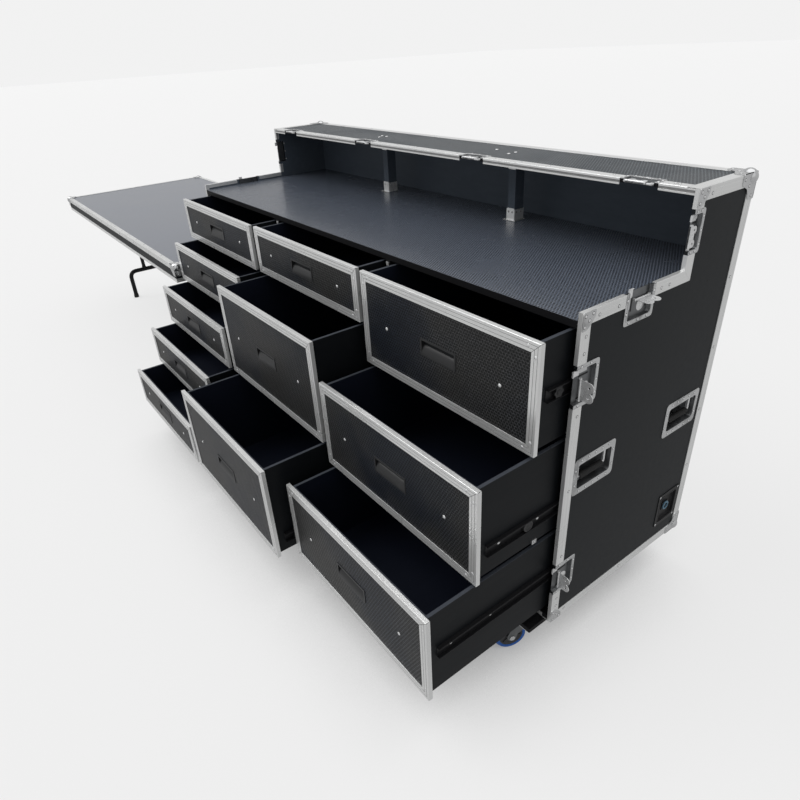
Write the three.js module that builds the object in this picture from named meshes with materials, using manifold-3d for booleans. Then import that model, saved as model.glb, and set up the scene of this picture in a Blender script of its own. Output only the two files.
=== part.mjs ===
// Road case with drawers, and its front cover standing beside it as a table.
// Lengths are in millimetres. While the pieces are made, X runs along the case from its
// left end, Y from its open front to its back and Z up from its bottom face. At the end the
// whole set is moved so that its origin is the middle of its footprint, on the floor.
import * as THREE from 'three';
import { mergeVertices } from 'three/addons/utils/BufferGeometryUtils.js';
import Module from 'manifold-3d';

const wasm = await Module();
wasm.setup();

// Case body
const caseLength = 2000;
const caseDepth = 610;
const caseHeight = 1100;
const hutchHeight = 183; // the hutch rises this far above the low front part of the ends
const riserSetback = 364; // front of the raised hutch
const panelThickness = 9;
const bottomThickness = 15;
const worktopThickness = 18;
const worktopDrop = 19; // the worktop's surface lies this far below the step
const dividerThickness = 18;
const fitGap = 0.3; // between pieces that are fastened face to face
const fuse = 0.2; // how far pieces that make one solid reach into each other
const grid = 0.02; // corners are set on this grid before solids are joined or cut
const overrun = 4; // how far a cutting solid passes the faces that it cuts

// Aluminium profiles
const profileThickness = 1.5;
const angleLeg = 30;
const lipHeight = 16; // front face of the grooved profile along the hutch
const lipGrooveDepth = 0.8;
const lipGrooveWidth = 5;
const stripHeight = 13; // flat strip along the bottom front edge

// Ball corners and flat braces
const cornerReach = 62;
const tableCornerReach = 50;
const cornerSheet = 1.6;
const cornerBallRadius = 21;
const cornerBallInset = 12;
const cornerTipWidth = 24;
const braceReach = 42;
const braceWidth = 30;
const braceSheet = 1.2;

// Hutch posts
const postWidth = 30;
const postDepth = 38;
const postFromBack = 104; // back of the case to the middle of a post
const bracketSheet = 2;
const bracketHeight = 34;
const topBracketHeight = 22;

// Drawers
const columnCount = 3;
const frontClearance = 0.9; // beside the outer drawer fronts
const dividerClearance = 3.2;
const frontTopClearance = 1.4;
const frontBottomClearance = 20;
const rowGap = 9.2;
const closedInset = 1; // a closed drawer's face lies this far inside the case's front
const frameFace = 25;
const frameReturn = 12;
const boxSideGap = 13; // from the edge of a front to the side of its box
const boxWall = 9;
const boxFloor = 6;
const boxEdgeMargin = 5;
const boxBackClearance = 42.6;
const pullWidth = 125;
const pullHeight = 40;
const pullDepth = 17;
const pullWall = 1.5;
const pullRim = 4;
const pullRimThickness = 1;
const pullMouth = 15; // height of the finger slot above the curved face
const pullArcSteps = 4;

// Telescopic runners
const runnerHeight = 35;
const runnerSteel = 1.5;
const runnerPlay = 0.3;
const runnerFrontClearance = 2;
const runnerBackClearance = 44.2;
const runnerOverlap = 40; // what stays in the case's channel when a drawer is fully out
const sliderShortening = 25; // a slider is this much shorter than its channel
const sliderSetback = 40; // front face of the drawer to the front end of its slider
const sliderWallGap = 3;

// Recessed latches
const latchWidth = 107;
const latchDepth = 76;
const smallLatchWidth = 103;
const smallLatchDepth = 41;
const latchBorder = 11;
const latchPocketDepth = 8;
const latchSheet = 1.2;
const latchPivotDepth = 4.5;
const latchBarrelRadius = 2.6;
const latchWingWidth = 50;
const latchWingReach = 36;
const smallWingReach = 21;
const latchWingThickness = 1.8;
const latchWingHoleRadius = 3.4;
const latchWingOffset = 12; // the wing sits off the middle, beside the hook
const latchEarWidth = 4;
const latchEarLength = 6;
const latchPivotBack = 6; // from the inner end of the pocket to a wing's tip
const latchHookWidth = 14;
const latchHookReach = 8;
const latchHookLength = 22;
const latchHookThickness = 2;
const latchHookFoot = 5;
const stepLatchFromFront = 199;
const riserLatchFromTop = 96;
const upperLatchFromStep = 174;
const lowerLatchHeight = 162;
const hutchLatchShares = [0.076, 0.351, 0.639, 0.924];

// Sprung handles
const handleWidth = 157;
const handleHeight = 108;
const handleCorner = 10;
const handlePocketWidth = 128;
const handlePocketHeight = 72;
const handlePocketDepth = 21;
const handleSheet = 1.2;
const handleRodRadius = 3.2;
const handleGripRadius = 8.5;
const handleGripLength = 88;
const handleDrop = 40;
const handleArmGap = 4;
const handleHeightShare = 0.5245; // of the height of the low front part
const frontHandleFromFront = 109;
const rearHandleFromBack = 123;

// Power inlet
const inletDishWidth = 104;
const inletDishHeight = 120;
const inletBorder = 13;
const inletFromBack = 88;
const inletRunnerGap = 14.5; // under the runner of the lowest drawer
const inletRadius = 12;
const inletFlange = 30;
const inletFlangeThickness = 2;
const inletBodyDepth = 12;
const inletSocketRadius = 8;
const inletSocketDepth = 9;

// Castors
const castorBoardThickness = 15;
const castorBoardOverhang = 60;
const castorBoardEndInset = 20;
const wheelRadius = 50;
const wheelWidth = 32;
const tyreShoulder = 5;
const hubRadius = 34;
const hubRecess = 5;
const hubBossRadius = 13;
const axleRadius = 6;
const axleClearance = 0.4;
const castorHeight = 116;
const castorTrail = 38;
const castorPlateLength = 105;
const castorPlateWidth = 72;
const castorPlateThickness = 4;
const castorFromEnd = 81;
const frontCastorSetback = -23;
const rearCastorFromBack = 110;
const raceRadius = 31;
const raceHeight = 5;
const forkTopThickness = 4;
const forkCheekThickness = 3;
const forkCheekWidth = 34;
const forkTopWidth = 60;
const forkWheelGap = 3;
const castorTurnDegrees = [249, 244, 254, 246];

// Table made of the front cover
const tableLength = 2080;
const tableWidth = 930;
const tableTopHeight = 736; // above the floor
const tableGap = 12; // between the table and the case
const tableFrontOverhang = 209; // the table stands this far in front of the case's front
const tableRimDepth = 78;
const tablePanelThickness = 9;
const tableTopLeg = 22;
const tableSideLeg = 24;
const tableLipLeg = 17;
const tableLipReturn = 12;
const tubeRadius = 12.5;
const strutRadius = 10;
const legFromEnd = 135;
const legSpread = 474;
const strutSpread = 262;
const legCrossHeight = 190;
const legBendRadius = 45;
const footRadius = 15;
const footHeight = 22;
const pivotDrop = 26; // underside of the table top to the pivot rod
const pivotRodRadius = 6;
const pivotRodOverhang = 12;
const pivotRodClearance = 1;
const legBracketSheet = 3;
const legBracketWidth = 44;
const legBracketLength = 40;

// How round the round pieces are
const finePieceSides = 20;
const roundPieceSides = 12;
const tubeSides = 8;
const smallRoundSides = 8;

// Worked-out places
const panelInset = profileThickness + fitGap;
const panelInner = panelInset + panelThickness;
const edgeLeg = panelInner;
const stepHeight = caseHeight - hutchHeight;
const upperLatchHeight = stepHeight - upperLatchFromStep;
const handleMiddleHeight = handleHeightShare * stepHeight;
const backFace = caseDepth - panelInner;
const worktopTop = stepHeight - worktopDrop;
const worktopBottom = worktopTop - worktopThickness;
const bottomTop = panelInset + bottomThickness;
const drawerZoneTop = worktopBottom - frontTopClearance;
const drawerZoneBottom = bottomTop + frontBottomClearance;
const drawerZoneHeight = drawerZoneTop - drawerZoneBottom;
const columnGap = dividerThickness + 2 * dividerClearance;
const frontSideGap = panelInner + frontClearance;
const frontWidth = (caseLength - 2 * frontSideGap - (columnCount - 1) * columnGap) / columnCount;
const dividerMiddles = [
  frontSideGap + frontWidth + columnGap / 2,
  caseLength - frontSideGap - frontWidth - columnGap / 2,
];
const runnerFront = closedInset + frameReturn + runnerFrontClearance;
const runnerLength = backFace - runnerBackClearance - runnerFront;
const runnerTravel = runnerLength - runnerOverlap;
const sliderLength = runnerLength - sliderShortening;
const boardBottom = -castorBoardThickness;
const floorHeight = boardBottom - castorHeight;
const tableTop = floorHeight + tableTopHeight;

// Finishes
function finish(color, roughness, metalness) {
  return new THREE.MeshStandardMaterial({ color, roughness, metalness, flatShading: true });
}
const charcoalLaminate = finish(0x2d2f2f, 0.55, 0);
const hexLaminate = finish(0x26282a, 0.45, 0);
const blackBoard = finish(0x141516, 0.6, 0);
const worktopFinish = finish(0x3a3d42, 0.4, 0);
const aluminium = finish(0xb9bbba, 0.4, 1);
const plated = finish(0xa9acac, 0.3, 1);
const blackSteel = finish(0x1a1b1c, 0.45, 0.6);
const blackPlastic = finish(0x1c1c1d, 0.5, 0);
const tealPlastic = finish(0x2f6f86, 0.4, 0);
const gripRubber = finish(0x151515, 0.8, 0);
const wheelBlue = finish(0x1f5fae, 0.55, 0);

// Shape helpers
function bare(geometry) {
  const copy = geometry.clone();
  for (const name of Object.keys(copy.attributes)) {
    if (name !== 'position') copy.deleteAttribute(name);
  }
  return mergeVertices(copy);
}

// Corners are set on a fine grid first, so that faces meant to be flush are exactly flush.
function solidOf(geometry) {
  const merged = bare(geometry);
  const vertProperties = merged.attributes.position.array.map((place) => Math.round(place / grid) * grid);
  const triVerts = new Uint32Array(merged.index.array);
  return new wasm.Manifold(new wasm.Mesh({ numProp: 3, vertProperties, triVerts }));
}

function geometryOf(solid) {
  const mesh = solid.simplify(grid).getMesh();
  const geometry = new THREE.BufferGeometry();
  geometry.setAttribute('position', new THREE.BufferAttribute(new Float32Array(mesh.vertProperties), 3));
  geometry.setIndex(new THREE.BufferAttribute(new Uint32Array(mesh.triVerts), 1));
  return geometry;
}

function joined(...pieces) {
  return geometryOf(pieces.map(solidOf).reduce((sum, piece) => sum.add(piece)));
}

function carved(piece, ...cutters) {
  return geometryOf(cutters.map(solidOf).reduce((rest, cutter) => rest.subtract(cutter), solidOf(piece)));
}

function block(x0, x1, y0, y1, z0, z1) {
  const geometry = new THREE.BoxGeometry(x1 - x0, y1 - y0, z1 - z0);
  return geometry.translate((x0 + x1) / 2, (y0 + y1) / 2, (z0 + z1) / 2);
}

function outlineShape(points) {
  return new THREE.Shape(points.map(([x, y]) => new THREE.Vector2(x, y)));
}

function slab(points, thickness) {
  return new THREE.ExtrudeGeometry(outlineShape(points), { depth: thickness, bevelEnabled: false });
}

function roundBar(radius, length, sides = smallRoundSides) {
  return new THREE.CylinderGeometry(radius, radius, length, sides);
}

function turned(profile, sides) {
  return new THREE.LatheGeometry(profile.map(([r, y]) => new THREE.Vector2(r, y)), sides);
}

// Sets a piece into the frame given by its three directions. Directions of the other
// hand mirror the piece, so its faces are turned over to point out again.
function placed(geometry, origin, xDirection, yDirection, zDirection) {
  const axes = [xDirection, yDirection, zDirection].map((direction) => new THREE.Vector3(...direction));
  const matrix = new THREE.Matrix4().makeBasis(...axes).setPosition(...origin);
  const moved = bare(geometry).applyMatrix4(matrix);
  if (matrix.determinant() < 0) {
    const index = moved.index.array;
    for (let i = 0; i < index.length; i += 3) {
      const kept = index[i];
      index[i] = index[i + 1];
      index[i + 1] = kept;
    }
  }
  return moved;
}

const model = new THREE.Group();

function addPiece(name, material, geometry, parent = model) {
  const mesh = new THREE.Mesh(geometry, material);
  mesh.name = name;
  parent.add(mesh);
  return mesh;
}

// The two ends of the case. outward points out of the end face.
const ends = [
  { name: 'left', face: 0, outward: -1 },
  { name: 'right', face: caseLength, outward: 1 },
];

// Latches: a place on an edge, the direction along it, the one into the panel and the
// one out of the panel.
const wideLatch = { width: latchWidth, depth: latchDepth, reach: latchWingReach };
const narrowLatch = { width: smallLatchWidth, depth: smallLatchDepth, reach: smallWingReach, open: false };

function latchesOfEnd(end) {
  const out = [end.outward, 0, 0];
  const open = end.outward > 0;
  return [
    {
      name: `${end.name}_lower`, ...wideLatch, open,
      origin: [end.face, 0, lowerLatchHeight], along: [0, 0, 1], inward: [0, 1, 0], out,
    },
    {
      name: `${end.name}_upper`, ...wideLatch, open,
      origin: [end.face, 0, upperLatchHeight], along: [0, 0, 1], inward: [0, 1, 0], out,
    },
    {
      name: `${end.name}_step`, ...wideLatch, open,
      origin: [end.face, stepLatchFromFront, stepHeight], along: [0, -1, 0], inward: [0, 0, -1], out,
    },
    {
      name: `${end.name}_riser`, ...narrowLatch,
      origin: [end.face, riserSetback, caseHeight - riserLatchFromTop],
      along: [0, 0, 1], inward: [0, 1, 0], out,
    },
  ];
}

const hutchLatches = hutchLatchShares.map((share, i) => ({
  name: `hutch_${i + 1}`, ...narrowLatch,
  origin: [share * caseLength, riserSetback, caseHeight], along: [1, 0, 0], inward: [0, 1, 0], out: [0, 0, 1],
}));
const latches = [...latchesOfEnd(ends[0]), ...latchesOfEnd(ends[1]), ...hutchLatches];

function placedLatchPiece(geometry, latch) {
  return placed(geometry, latch.origin, latch.along, latch.inward, latch.out);
}

function pocketHalf(latch) {
  return latch.width / 2 - latchBorder;
}

function pocketLength(latch) {
  return latch.depth - latchBorder;
}

function pivotPlace(latch) {
  return pocketLength(latch) - latchPivotBack - latch.reach;
}

// The edge profiles stop on both sides of a latch.
function latchBreak(latch) {
  const half = latch.width / 2;
  const reach = angleLeg + overrun;
  return placedLatchPiece(block(-half, half, -overrun, reach, -reach, overrun), latch);
}

function latchCutout(latch) {
  const side = pocketHalf(latch) + latchSheet + fitGap;
  const back = pocketLength(latch) + latchSheet + fitGap;
  return placedLatchPiece(block(-side, side, -overrun, back, -panelInner - overrun, overrun), latch);
}

// The dish is a flange with a pocket that is open towards the case's edge. The hook lies
// at one end of the pocket and the wing's ears stand at the other.
function latchDish(latch) {
  const halfWidth = latch.width / 2 + fuse;
  const half = pocketHalf(latch);
  const flange = block(-halfWidth, halfWidth, 0, latch.depth, -profileThickness, 0);
  const pocketSide = half + latchSheet;
  const back = pocketLength(latch) + latchSheet;
  const floorBottom = -latchPocketDepth - latchSheet;
  const pocket = block(-pocketSide, pocketSide, 0, back, floorBottom, -profileThickness / 2);
  const hollow = block(-half, half, -overrun, pocketLength(latch), -latchPocketDepth, overrun);
  const seat = -latchPocketDepth - latchSheet / 2;
  const armTop = -latchPivotDepth;
  const armBottom = armTop - latchHookThickness;
  const footStart = latchHookLength - latchHookReach - latchHookFoot;
  const footEnd = latchHookLength - latchHookReach;
  const hookOutline = [
    [-latchHookReach, armBottom],
    [footStart, armBottom],
    [footStart, seat],
    [footEnd, seat],
    [footEnd, armTop],
    [-latchHookReach + latchHookThickness, armTop],
    [-latchHookReach + latchHookThickness, -latchHookThickness],
    [-latchHookReach, -latchHookThickness],
  ];
  const hookStart = half - fitGap - latchHookWidth;
  const hook = placed(slab(hookOutline, latchHookWidth), [hookStart, 0, 0], [0, 1, 0], [0, 0, 1], [1, 0, 0]);
  const pivot = pivotPlace(latch);
  const ears = [-1, 1].map((side) => {
    const inner = -latchWingOffset + side * (latchWingWidth / 2 + fitGap);
    const outer = inner + side * latchEarWidth;
    const [x0, x1] = [Math.min(inner, outer), Math.max(inner, outer)];
    const halfLength = latchEarLength / 2;
    return block(x0, x1, pivot - halfLength, pivot + halfLength, seat, -latchPivotDepth + latchBarrelRadius);
  });
  return placedLatchPiece(joined(carved(joined(flange, pocket), hollow), hook, ...ears), latch);
}

// A butterfly wing with two holed lobes, hinged on a barrel between the ears.
const wingOutlineShares = [
  [-0.5, 0], [0.5, 0], [0.5, 0.55], [0.41, 0.9], [0.26, 1], [0.1, 0.84], [0, 0.6],
  [-0.1, 0.84], [-0.26, 1], [-0.41, 0.9], [-0.5, 0.55],
];
const wingHoleShares = [0.27, 0.58];

function latchWing(latch) {
  const outline = wingOutlineShares.map(([x, y]) => [x * latchWingWidth, y * latch.reach]);
  const shape = outlineShape(outline);
  for (const side of [-1, 1]) {
    const hole = new THREE.Path();
    const [across, along] = wingHoleShares;
    const x = side * across * latchWingWidth;
    hole.absarc(x, along * latch.reach, latchWingHoleRadius, 0, Math.PI * 2, true);
    shape.holes.push(hole);
  }
  const plate = new THREE.ExtrudeGeometry(shape, {
    depth: latchWingThickness, bevelEnabled: false, curveSegments: smallRoundSides / 2,
  });
  plate.translate(0, 0, -latchWingThickness / 2);
  const barrel = roundBar(latchBarrelRadius, latchWingWidth).rotateZ(Math.PI / 2);
  const wing = joined(plate, barrel);
  if (latch.open) wing.rotateX(Math.PI / 2);
  wing.translate(-latchWingOffset, pivotPlace(latch), -latchPivotDepth);
  return placedLatchPiece(wing, latch);
}

// Sprung handles: the middle of each dish on an end face.
const handles = ends.flatMap((end) => [
  { name: `${end.name}_front`, end, y: frontHandleFromFront },
  { name: `${end.name}_rear`, end, y: caseDepth - rearHandleFromBack },
]);

function placedHandlePiece(geometry, handle) {
  const origin = [handle.end.face, handle.y, handleMiddleHeight];
  return placed(geometry, origin, [0, 1, 0], [0, 0, 1], [handle.end.outward, 0, 0]);
}

function handleShell(handle) {
  const x = handleWidth / 2;
  const y = handleHeight / 2;
  const c = handleCorner;
  const rim = slab([
    [-x + c, -y], [x - c, -y], [x, -y + c], [x, y - c],
    [x - c, y], [-x + c, y], [-x, y - c], [-x, -y + c],
  ], panelInset + fuse).translate(0, 0, -panelInset - fuse);
  const shellX = handlePocketWidth / 2 + handleSheet;
  const shellY = handlePocketHeight / 2 + handleSheet;
  const shell = block(-shellX, shellX, -shellY, shellY, -handlePocketDepth - handleSheet, -panelInset);
  return placedHandlePiece(joined(rim, shell), handle);
}

function handleHollow(handle) {
  const x = handlePocketWidth / 2;
  const y = handlePocketHeight / 2;
  return placedHandlePiece(block(-x, x, -y, y, -handlePocketDepth, overrun), handle);
}

const bailTop = handlePocketHeight / 2 - handleRodRadius - handleArmGap;
const bailDepth = -handlePocketDepth / 2;

// A steel rod bent into a bail, with a grip over its lower run.
function handleBail(handle) {
  const reach = handlePocketWidth / 2 - fitGap;
  const armX = handleGripLength / 2 + handleArmGap + handleRodRadius;
  const arms = [-1, 1].flatMap((side) => {
    const stub = roundBar(handleRodRadius, reach - armX + handleRodRadius)
      .rotateZ(Math.PI / 2)
      .translate(side * (reach + armX - handleRodRadius) / 2, 0, 0);
    const arm = roundBar(handleRodRadius, handleDrop + 2 * handleRodRadius)
      .translate(side * armX, -handleDrop / 2, 0);
    return [stub, arm];
  });
  const run = roundBar(handleRodRadius, 2 * armX).rotateZ(Math.PI / 2).translate(0, -handleDrop, 0);
  const grip = roundBar(handleGripRadius, handleGripLength, roundPieceSides)
    .rotateZ(Math.PI / 2)
    .translate(0, -handleDrop, 0);
  const bail = joined(...arms, run, grip).translate(0, bailTop, bailDepth);
  return placedHandlePiece(bail, handle);
}

// Power inlet in its dish, low on the right end
const inletY = caseDepth - inletFromBack;

function placedInletPiece(geometry) {
  return placed(geometry, [caseLength, inletY, inletMiddleHeight], [0, 1, 0], [0, 0, 1], [1, 0, 0]);
}

function inletCutout() {
  const x = inletDishWidth / 2 - inletBorder + latchSheet + fitGap;
  const y = inletDishHeight / 2 - inletBorder + latchSheet + fitGap;
  return placedInletPiece(block(-x, x, -y, y, -panelInner - overrun, overrun));
}

function inletHoleBar(radius) {
  return roundBar(radius, 2 * (latchPocketDepth + overrun), roundPieceSides).rotateX(Math.PI / 2);
}

function inletDish() {
  const x = inletDishWidth / 2;
  const y = inletDishHeight / 2;
  const plate = block(-x, x, -y, y, -panelInset + fitGap, 0);
  const px = x - inletBorder;
  const py = y - inletBorder;
  const floorBottom = -latchPocketDepth - latchSheet;
  const shell = block(
    -px - latchSheet, px + latchSheet, -py - latchSheet, py + latchSheet, floorBottom, -panelInset / 2,
  );
  const hollow = block(-px, px, -py, py, -latchPocketDepth, overrun);
  const hole = inletHoleBar(inletRadius + fitGap).translate(0, 0, -latchPocketDepth);
  return placedInletPiece(carved(joined(plate, shell), hollow, hole));
}

function inletConnector() {
  const seat = -latchPocketDepth + fitGap;
  const half = inletFlange / 2;
  const flange = block(-half, half, -half, half, seat, seat + inletFlangeThickness);
  const front = seat + inletFlangeThickness + inletFlangeThickness;
  const body = roundBar(inletRadius, front - seat + inletBodyDepth, roundPieceSides)
    .rotateX(Math.PI / 2)
    .translate(0, 0, (front + seat - inletBodyDepth) / 2);
  const socket = roundBar(inletSocketRadius, inletSocketDepth + overrun, roundPieceSides)
    .rotateX(Math.PI / 2)
    .translate(0, 0, front + (overrun - inletSocketDepth) / 2);
  return placedInletPiece(carved(joined(flange, body), socket));
}

// Drawers. A column is cut into equal units, and a drawer is one or two units tall. The
// pull-outs are shares of the runners' travel, as the drawers stand.
const columns = [
  {
    letter: 'l', units: 5, spans: [1, 1, 1, 1, 1], pullShares: [0.22, 0.376, 0.566, 0.756, 0.966],
    runnerShares: [0.17, 0.17, 0.17, 0.17, 0.17],
  },
  {
    letter: 'm', units: 5, spans: [1, 2, 2], pullShares: [0.21, 0.549, 0.964],
    runnerShares: [0.17, 0.17, 0.17],
  },
  {
    letter: 'r', units: 3, spans: [1, 1, 1], pullShares: [0.215, 0.549, 0.847],
    runnerShares: [0.5, 0.29, 0.5],
  },
];

function columnLeft(index) {
  return frontSideGap + index * (frontWidth + columnGap);
}

// Distance from each side of a box to the panel or divider beside it
function boxSpaces(index) {
  const atEnd = frontClearance + boxSideGap;
  const atDivider = dividerClearance + boxSideGap;
  return { left: index === 0 ? atEnd : atDivider, right: index === columns.length - 1 ? atEnd : atDivider };
}

const drawers = columns.flatMap((column, index) => {
  const unit = (drawerZoneHeight - (column.units - 1) * rowGap) / column.units;
  let top = drawerZoneTop;
  return column.spans.map((span, row) => {
    const height = span * unit + (span - 1) * rowGap;
    const drawer = {
      name: `drawer_${column.letter}${row + 1}`,
      column: index,
      x: columnLeft(index),
      z: top - height,
      height,
      pull: column.pullShares[row] * runnerTravel,
      runner: column.runnerShares[row] * height,
      spaces: boxSpaces(index),
    };
    top -= height + rowGap;
    return drawer;
  });
});

// The inlet lies under the outer runner of the lowest drawer.
const lowestDrawer = drawers[drawers.length - 1];
const lowestRunner = lowestDrawer.z + lowestDrawer.runner - runnerHeight / 2;
const inletMiddleHeight = lowestRunner - inletRadius - inletRunnerGap;

// A runner is a channel on the case and a smaller channel on the box that slides in it.
// The outlines run from the case's face, at zero, to the box's side.
function channelOutline(base, tip, height) {
  const half = height / 2;
  const inner = half - runnerSteel;
  const foot = base + Math.sign(tip - base) * runnerSteel;
  return [
    [base, -half], [tip, -half], [tip, -inner], [foot, -inner],
    [foot, inner], [tip, inner], [tip, half], [base, half],
  ];
}

function runnerChannel(space) {
  return channelOutline(-fuse, space - sliderWallGap, runnerHeight);
}

function sliderChannel(space) {
  return channelOutline(space + fuse, sliderWallGap, runnerHeight - 2 * (runnerSteel + runnerPlay));
}

function runnersOf(drawer, outlineFor, from, length) {
  const { left, right } = drawer.spaces;
  const leftFace = boxSideGap - left;
  const rightFace = frontWidth - boxSideGap + right;
  const [up, back] = [[0, 0, 1], [0, 1, 0]];
  return [
    placed(slab(outlineFor(left), length), [leftFace, from, drawer.runner], [1, 0, 0], up, back),
    placed(slab(outlineFor(right), length), [rightFace, from, drawer.runner], [-1, 0, 0], up, back),
  ];
}

// The channels of the runners, by the panel or divider that carries them
const caseRunners = drawers.map((drawer) => (
  runnersOf(drawer, runnerChannel, runnerFront, runnerLength)
    .map((runner) => runner.translate(drawer.x, 0, drawer.z))
));

// carrier 0 is the left end panel, then the dividers, and the last is the right end panel
function runnersOnCarrier(carrier) {
  return drawers.flatMap((drawer, i) => {
    const [leftRunner, rightRunner] = caseRunners[i];
    const carried = [];
    if (drawer.column === carrier) carried.push(leftRunner);
    if (drawer.column + 1 === carrier) carried.push(rightRunner);
    return carried;
  });
}

// End panels: the stepped outline, inside the profiles that run round it, with the dishes
// of the handles and the channels of the outer runners on it
const endOutline = [
  [panelInset, panelInset],
  [caseDepth - panelInset, panelInset],
  [caseDepth - panelInset, caseHeight - panelInset],
  [riserSetback + panelInset, caseHeight - panelInset],
  [riserSetback + panelInset, stepHeight - panelInset],
  [panelInset, stepHeight - panelInset],
];
ends.forEach((end, i) => {
  const origin = [end.face - end.outward * panelInset, 0, 0];
  const board = placed(slab(endOutline, panelThickness), origin, [0, 1, 0], [0, 0, 1], [-end.outward, 0, 0]);
  const cutouts = latchesOfEnd(end).map(latchCutout);
  if (end.outward > 0) cutouts.push(inletCutout());
  const own = handles.filter((handle) => handle.end === end);
  const runners = runnersOnCarrier(i * columns.length);
  const panel = joined(carved(board, ...cutouts), ...own.map(handleShell), ...runners);
  addPiece(`end_panel_${end.name}`, charcoalLaminate, carved(panel, ...own.map(handleHollow)));
});

// Long panels between the ends
const innerLeft = panelInner + fitGap;
const innerRight = caseLength - innerLeft;
addPiece('back_panel', charcoalLaminate, block(
  innerLeft, innerRight, backFace, caseDepth - panelInset, panelInset, caseHeight - panelInset,
));
addPiece('bottom_panel', blackBoard, block(
  innerLeft, innerRight, panelInset, backFace - fitGap, panelInset, bottomTop,
));
addPiece('worktop', worktopFinish, block(
  innerLeft, innerRight, 0, backFace - fitGap, worktopBottom, worktopTop,
));
const topPanel = block(
  innerLeft, innerRight, riserSetback + panelInset, backFace - fitGap,
  caseHeight - panelInner, caseHeight - panelInset,
);
addPiece('top_panel', hexLaminate, carved(topPanel, ...hutchLatches.map(latchCutout)));
dividerMiddles.forEach((middle, i) => {
  const divider = block(
    middle - dividerThickness / 2, middle + dividerThickness / 2,
    0, backFace - fitGap, bottomTop + fitGap, worktopBottom - fitGap,
  );
  addPiece(`divider_${ends[i].name}`, blackBoard, joined(divider, ...runnersOnCarrier(i + 1)));
});

// A ball corner: three sheet legs and a ball over a corner of the case or the table
const cornerHalfTip = cornerTipWidth / 2;

function cornerLeg(reach) {
  const outline = [
    [-cornerSheet, -cornerSheet], [reach, -cornerSheet], [reach, cornerTipWidth],
    [cornerTipWidth + cornerHalfTip, cornerTipWidth + cornerHalfTip], [cornerTipWidth, reach],
    [-cornerSheet, reach],
  ];
  return slab(outline, cornerSheet).translate(0, 0, -cornerSheet);
}

function ballCorner(reach) {
  const leg = cornerLeg(reach);
  const legs = [
    leg,
    placed(leg, [0, 0, 0], [0, 1, 0], [0, 0, 1], [1, 0, 0]),
    placed(leg, [0, 0, 0], [0, 0, 1], [1, 0, 0], [0, 1, 0]),
  ];
  const ball = new THREE.SphereGeometry(cornerBallRadius, roundPieceSides, smallRoundSides)
    .translate(cornerBallInset, cornerBallInset, cornerBallInset);
  return carved(joined(...legs, ball), block(0, reach, 0, reach, 0, reach));
}

// A corner reaches into the end frame behind it and keeps off the other profiles.
function caseCorner(end, z, up) {
  const x = end.face - end.outward * fuse;
  const origin = [x, caseDepth + fitGap, z - up * fitGap];
  return placed(ballCorner(cornerReach), origin, [-end.outward, 0, 0], [0, -1, 0], [0, 0, up]);
}

// Flat braces over the corners that have no ball
function brace(end, y, z, toY, toZ) {
  const outline = [
    [0, 0], [braceReach, 0], [braceReach, braceWidth / 2], [braceWidth, braceWidth],
    [braceWidth / 2, braceReach], [0, braceReach],
  ];
  const origin = [end.face - end.outward * fuse, y, z];
  return placed(slab(outline, braceSheet + fuse), origin, [0, toY, 0], [0, 0, toZ], [end.outward, 0, 0]);
}

// The frame of an end: profiles round the stepped panel, broken by the latches' dishes,
// with a ball or a brace over each outer corner. The legs that turn over the front edges
// are as narrow as the panel is thick.
function endFrame(end) {
  const outer = [
    [0, 0], [caseDepth, 0], [caseDepth, caseHeight], [riserSetback, caseHeight], [riserSetback, stepHeight],
    [0, stepHeight],
  ];
  const shape = outlineShape(outer);
  shape.holes.push(new THREE.Path([
    [angleLeg, angleLeg],
    [angleLeg, stepHeight - angleLeg],
    [riserSetback + angleLeg, stepHeight - angleLeg],
    [riserSetback + angleLeg, caseHeight - angleLeg],
    [caseDepth - angleLeg, caseHeight - angleLeg],
    [caseDepth - angleLeg, angleLeg],
  ].map(([y, z]) => new THREE.Vector2(y, z))));
  const t = profileThickness;
  const face = new THREE.ExtrudeGeometry(shape, { depth: t, bevelEnabled: false }).translate(0, 0, -t);
  const legs = [
    block(0, caseDepth, 0, t, -angleLeg, 0),
    block(caseDepth - t, caseDepth, 0, caseHeight, -angleLeg, 0),
    block(riserSetback, caseDepth, caseHeight - t, caseHeight, -angleLeg, 0),
    block(riserSetback, riserSetback + t, stepHeight - t, caseHeight, -edgeLeg, 0),
    block(0, riserSetback + t, stepHeight - t, stepHeight, -edgeLeg, 0),
    block(0, t, 0, stepHeight, -edgeLeg, 0),
  ];
  const profiles = placed(joined(face, ...legs), [end.face, 0, 0], [0, 1, 0], [0, 0, 1], [end.outward, 0, 0]);
  const own = latchesOfEnd(end);
  return joined(
    carved(profiles, ...own.map(latchBreak)),
    ...own.map(latchDish),
    caseCorner(end, 0, 1),
    caseCorner(end, caseHeight, -1),
    brace(end, 0, 0, 1, 1),
    brace(end, 0, stepHeight, 1, -1),
    brace(end, riserSetback, caseHeight, 1, -1),
  );
}
for (const end of ends) addPiece(`end_frame_${end.name}`, aluminium, endFrame(end));

// Profiles along the case, between the end frames
const runLeft = angleLeg + fitGap;
const runRight = caseLength - runLeft;
function rearAngle(z, up) {
  const outline = [
    [0, 0], [angleLeg, 0], [angleLeg, profileThickness], [profileThickness, profileThickness],
    [profileThickness, angleLeg], [0, angleLeg],
  ];
  const profile = slab(outline, runRight - runLeft);
  return placed(profile, [runLeft, caseDepth, z], [0, -1, 0], [0, 0, up], [1, 0, 0]);
}
addPiece('rear_bottom_profile', aluminium, rearAngle(0, 1));
addPiece('rear_top_profile', aluminium, rearAngle(caseHeight, -1));
addPiece('front_strip', aluminium, block(runLeft, runRight, 0, profileThickness, 0, stripHeight));

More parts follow.
